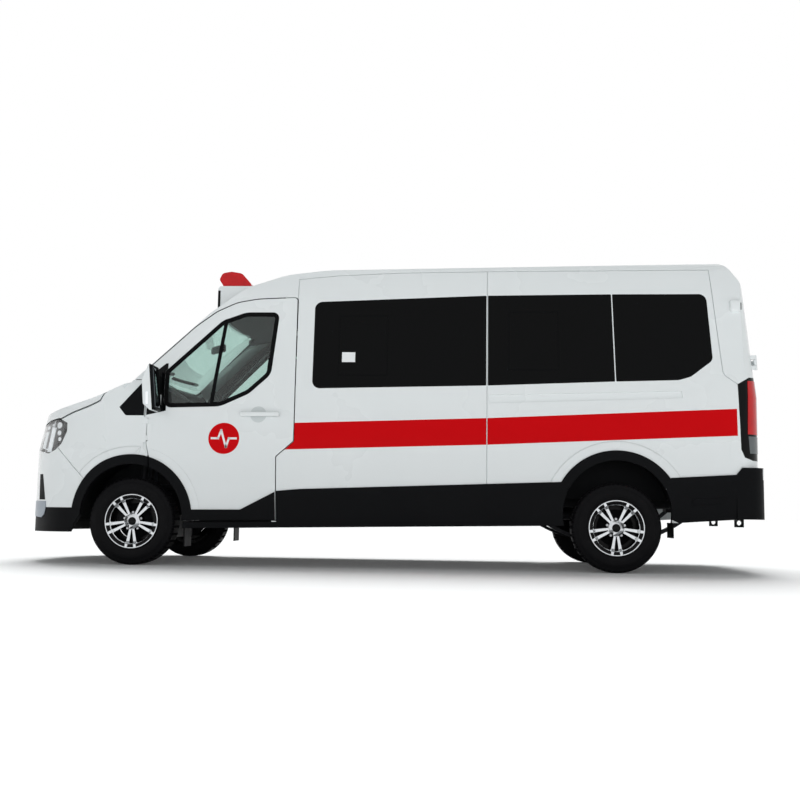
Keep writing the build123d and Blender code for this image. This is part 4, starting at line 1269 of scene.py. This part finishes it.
@dataclass
class FrontDoor:
    """Handle, mirror trim, hinge cover and inner lining of one front door.

    The mirror's edges and repeater are x from the front axle and z. Its glass lies between the two distances
    of mirror_reach from the van's middle, and its dark rear part starts at mirror_root.
    """

    side: Side
    handle: Point = (-0.962, 1.181)
    handle_size: Vector = field(default_factory=lambda: Vector((0.310, 0.020, 0.038)))
    stand_off: float = 0.024
    dish: float = 0.064
    mirror_foot: Point = (0.231, 1.198)
    mirror_top: Point = (0.198, 1.533)
    mirror_reach: Point = (1.065, 1.237)
    mirror_root: float = 1.060
    rear_depth: float = 0.020
    repeater: tuple[Point, ...] = ((0.162, 1.235), (0.178, 1.235), (0.172, 1.330), (0.158, 1.325))
    hinge_low: float = 0.955
    hinge_high: float = 1.155

    @property
    def node(self) -> str:
        """The door's own node."""
        return f"front_door_{self.side.label}"

    @property
    def body(self) -> str:
        """The door's body."""
        return f"door_front_{self.side.label}"

    def build(self) -> None:
        """Adds the pieces that ride on the door."""
        self.build_handle()
        self.build_mirror()
        self.build_hinge_cover()
        self.build_lining()

    def build_handle(self) -> None:
        """Makes the pull bar on its two feet, over a grey disc of painted shade where a finger dish would be."""
        x, z = self.handle
        side = self.side
        # The grey disc is painted shade that stands for the hollow of a finger dish behind the handle
        film(f"handle_dish_{side.label}", self.node, circle(x - 0.017, z, self.dish, 40), DISH_SHADE_ENAMEL, self.body,
             Laid(side.outward, 0.4 * MM))
        spot = skin_point(self.node, Vector((x, side.value * 2.0, z)), -side.outward)
        length, thick, tall = self.handle_size
        bar = spot + side.outward * (self.stand_off + thick / 2)
        pieces = [rounded_box(self.handle_size, bar, 0.0095, 4)]
        for shift, wide in ((-length / 2 + 0.022, 0.034), (length / 2 - 0.050, 0.090)):
            foot = Vector((wide, self.stand_off + 0.012, tall * 0.8))
            pieces.append(rounded_box(foot, spot + Vector((shift, side.value * self.stand_off / 2, 0.0)), 0.006))
        publish(f"door_handle_{side.label}", joined(pieces), PAINT, self.body)

    def build_mirror(self) -> None:
        """Gives the mirror its dark rear part, its glass and its repeater."""
        node, side = f"mirror_{self.side.label}", self.side
        foot, top = (View.SIDE.point(FRONT_AXLE + x, z) for x, z in (self.mirror_foot, self.mirror_top))
        upward = (top - foot).normalized()
        backward = Vector((upward.z, 0.0, -upward.x))
        shape = merged(node)
        cut(shape, foot - backward * self.rear_depth, backward, drop_outer=False)
        cut(shape, Vector((0.0, side.value * self.mirror_root, 0.0)), side.outward, drop_outer=False)
        bmesh.ops.holes_fill(shape, edges=[edge for edge in shape.edges if edge.is_boundary], sides=0)
        bmesh.ops.recalc_face_normals(shape, faces=shape.faces)
        shape.normal_update()
        for vert in shape.verts:
            vert.co += vert.normal * 2 * MM
        publish(f"mirror_shell_{side.label}", shape, CLADDING, self.body)
        inner, outer = (side.value * reach for reach in self.mirror_reach)
        middle = (foot + top) / 2 + Vector((0.0, (inner + outer) / 2, 0.0)) + backward * 2 * MM
        size = Vector((0.006, abs(outer - inner) - 0.026, (top - foot).length - 0.034))
        tilt = Matrix((backward, Vector((0.0, 1.0, 0.0)), upward)).transposed().to_4x4()
        glass = moved(rounded_box(size, ORIGIN, 0.0025), middle, tilt)
        publish(f"mirror_glass_{side.label}", glass, MIRROR, self.body)
        film(f"mirror_repeater_{side.label}", node, stations(FRONT_AXLE, self.repeater), LIGHT_GUIDE, self.body,
             Laid(side.outward, 2 * MM))

    def build_hinge_cover(self) -> None:
        """Closes the panels' skin over the hinge, up to the gap on each side."""
        # Two limits of x from the front axle, the one at the gap, and how far the skin grows from there
        spans = (("fenders", "body", 0.070, 0.080, 0.080, 0.024), (self.node, self.body, 0.136, 0.150, 0.136, -0.016))
        for node, body, x0, x1, edge_x, reach in spans:
            shape = outer_faces(node, self.side.outward)
            trim_convex(shape, stations(FRONT_AXLE, rectangle(x0, self.hinge_low, x1, self.hinge_high)))
            bmesh.ops.translate(shape, verts=shape.verts, vec=self.side.outward * 0.1 * MM)
            rim = [edge for edge in shape.edges
                   if edge.is_boundary and all(abs(vert.co.x - FRONT_AXLE - edge_x) < 0.05 * MM for vert in edge.verts)]
            grown = bmesh.ops.extrude_edge_only(shape, edges=rim)["geom"]
            verts = [part for part in grown if isinstance(part, BMVert)]
            bmesh.ops.translate(shape, verts=verts, vec=(reach, 0.0, 0.0))
            bmesh.ops.recalc_face_normals(shape, faces=shape.faces)
            if sum(face.normal.dot(self.side.outward) for face in shape.faces) < 0.0:
                bmesh.ops.reverse_faces(shape, faces=shape.faces)
            thicken(publish(f"hinge_skin_{node}_{self.side.label}", shape, THIN_PAINT, body), 0.5 * MM)

    def build_lining(self) -> None:
        """Lays a dark skin on the door's inner face."""
        shape = kept_faces(self.node, lambda face: face.normal.dot(self.side.outward) <= -0.7)
        thicken(publish(f"door_lining_{self.side.label}", shape, CABIN, self.body), 1.5 * MM)


@dataclass
class Studio:
    """Pale floor, soft light and the photograph's camera.

    Attributes:
        place: Where the camera stands.
        yaw: Turn about the vertical, in degrees, from looking along +Y.
        pitch: Tilt upwards, in degrees.
        roll: Turn about the line of sight, in degrees.
        lens: Focal length in mm on a 36 mm sensor.
        fill: Strength of the light from all round.
        sun: Strength of the wide light from above.
        side_power: Power of the soft box beside the camera, in watts.
        floor_glow: What the floor gives off to the eye, so that it shows white.
        floor_size: Half the floor's width.
        sun_angle: Width of the light from above, in degrees.
        sun_place: Where it comes from.
        box_size: Width and height of the soft box.
        box_place: Its middle.
        box_aim: What it points at.
    """

    place: Vector = field(default_factory=lambda: Vector((0.6525, -9.029, 0.424)))
    yaw: float = -3.74
    pitch: float = 6.23
    roll: float = 0.80
    lens: float = 46.98
    fill: float = 0.3
    sun: float = 2.9
    side_power: float = 215.0
    floor_glow: float = 0.04
    floor_size: float = 150.0
    sun_angle: float = 45.0
    sun_place: Vector = field(default_factory=lambda: Vector((-0.3, 5.0, 8.0)))
    box_size: Point = (9.0, 2.0)
    box_place: Vector = field(default_factory=lambda: Vector((1.0, -9.5, 1.6)))
    box_aim: Vector = field(default_factory=lambda: Vector((0.3, 0.0, 1.1)))

    def build(self) -> None:
        """Sets up the scene round the van."""
        self.build_camera()
        self.build_floor()
        self.build_world()
        self.build_lamps()
        bpy.context.scene.view_settings.view_transform = "Standard"

    def build_camera(self) -> None:
        """Places the camera."""
        yaw, pitch, roll = (math.radians(angle) for angle in (self.yaw, self.pitch, self.roll))
        ahead = Vector((math.sin(yaw) * math.cos(pitch), math.cos(yaw) * math.cos(pitch), math.sin(pitch)))
        right = ahead.cross(Vector((0.0, 0.0, 1.0))).normalized()
        up = right.cross(ahead)
        tilted_right = right * math.cos(roll) + up * math.sin(roll)
        tilted_up = up * math.cos(roll) - right * math.sin(roll)
        data = bpy.data.cameras.new("camera")
        data.lens = self.lens
        data.sensor_width = 36.0
        camera = bpy.data.objects.new("camera", data)
        turn = Matrix((tilted_right, tilted_up, -ahead)).transposed().to_4x4()
        camera.matrix_world = Matrix.Translation(self.place) @ turn
        bpy.context.scene.collection.objects.link(camera)
        bpy.context.scene.camera = camera

    def seen(self, tree: bpy.types.NodeTree) -> bpy.types.NodeSocket:
        """1 for what the eye sees straight, in a mirror or through glass, and 0 for the light on other things."""
        path = add_node(tree, "ShaderNodeLightPath")
        total = path.outputs["Is Camera Ray"]
        for name in ("Is Glossy Ray", "Is Transmission Ray"):
            links = {0: total, 1: path.outputs[name]}
            total = add_node(tree, "ShaderNodeMath", links, operation="MAXIMUM").outputs[0]
        return total

    def build_floor(self) -> None:
        """Lays a wide pale floor that shows white to the eye and keeps the shadow."""
        shape = bmesh.new()
        bmesh.ops.create_grid(shape, x_segments=1, y_segments=1, size=self.floor_size)
        mesh = bpy.data.meshes.new("floor_plane")
        shape.to_mesh(mesh)
        shape.free()
        material = bpy.data.materials.new("studio_floor_white")
        material.use_nodes = True
        tree = material.node_tree
        shader = next(node for node in tree.nodes if node.type == "BSDF_PRINCIPLED")
        shader.inputs["Base Color"].default_value = linear("#F8F9F9")
        shader.inputs["Roughness"].default_value = 0.9
        shader.inputs["Specular IOR Level"].default_value = 0.1
        glow = add_node(tree, "ShaderNodeMath", {0: self.seen(tree), 1: self.floor_glow}, operation="MULTIPLY")
        shader.inputs["Emission Color"].default_value = (1.0, 1.0, 1.0, 1.0)
        tree.links.new(glow.outputs[0], shader.inputs["Emission Strength"])
        mesh.materials.append(material)
        floor = bpy.data.objects.new("studio_floor", mesh)
        bpy.context.scene.collection.objects.link(floor)

    def build_world(self) -> None:
        """Fills the room with soft light behind a white backdrop."""
        world = bpy.data.worlds.new("studio")
        bpy.context.scene.world = world
        world.use_nodes = True
        tree = world.node_tree
        tree.nodes.clear()
        fill = add_node(tree, "ShaderNodeBackground", {"Color": linear("#F4F7F8"), "Strength": self.fill})
        backdrop = add_node(tree, "ShaderNodeBackground", {"Color": (1.0, 1.0, 1.0, 1.0), "Strength": 1.0})
        mixed = add_node(tree, "ShaderNodeMixShader", {0: self.seen(tree), 1: fill.outputs[0], 2: backdrop.outputs[0]})
        add_node(tree, "ShaderNodeOutputWorld", {"Surface": mixed.outputs[0]})

    def build_lamps(self) -> None:
        """Hangs a wide light above and behind the van and a soft box beside the camera."""
        above = bpy.data.lights.new("wide_top", "SUN")
        above.energy = self.sun
        above.angle = math.radians(self.sun_angle)
        beside = bpy.data.lights.new("side_box", "AREA")
        beside.shape = "RECTANGLE"
        beside.size, beside.size_y = self.box_size
        beside.energy = self.side_power
        for data, place, aim in ((above, self.sun_place, ORIGIN), (beside, self.box_place, self.box_aim)):
            lamp = bpy.data.objects.new(data.name, data)
            lamp.matrix_world = Matrix.Translation(place) @ (aim - place).to_track_quat("-Z", "Y").to_matrix().to_4x4()
            lamp.visible_glossy = False
            bpy.context.scene.collection.objects.link(lamp)


def main() -> None:
    """Builds the van's sub-assemblies in order."""
    logging.basicConfig(level=logging.INFO)
    assemblies: list = [Bodywork(), Livery(), Glazing(), Arches(), Lamps(), Nose(), Tail(), LightBar(), Cab(), Seats()]
    assemblies += [FrontDoor(side) for side in Side]
    assemblies += [Wheel(end, side) for end in ("front", "rear") for side in Side]
    assemblies += [Studio()]
    for assembly in assemblies:
        assembly.build()
        LOG.info("built %s", type(assembly).__name__)


if __name__ == "__main__":
    main()
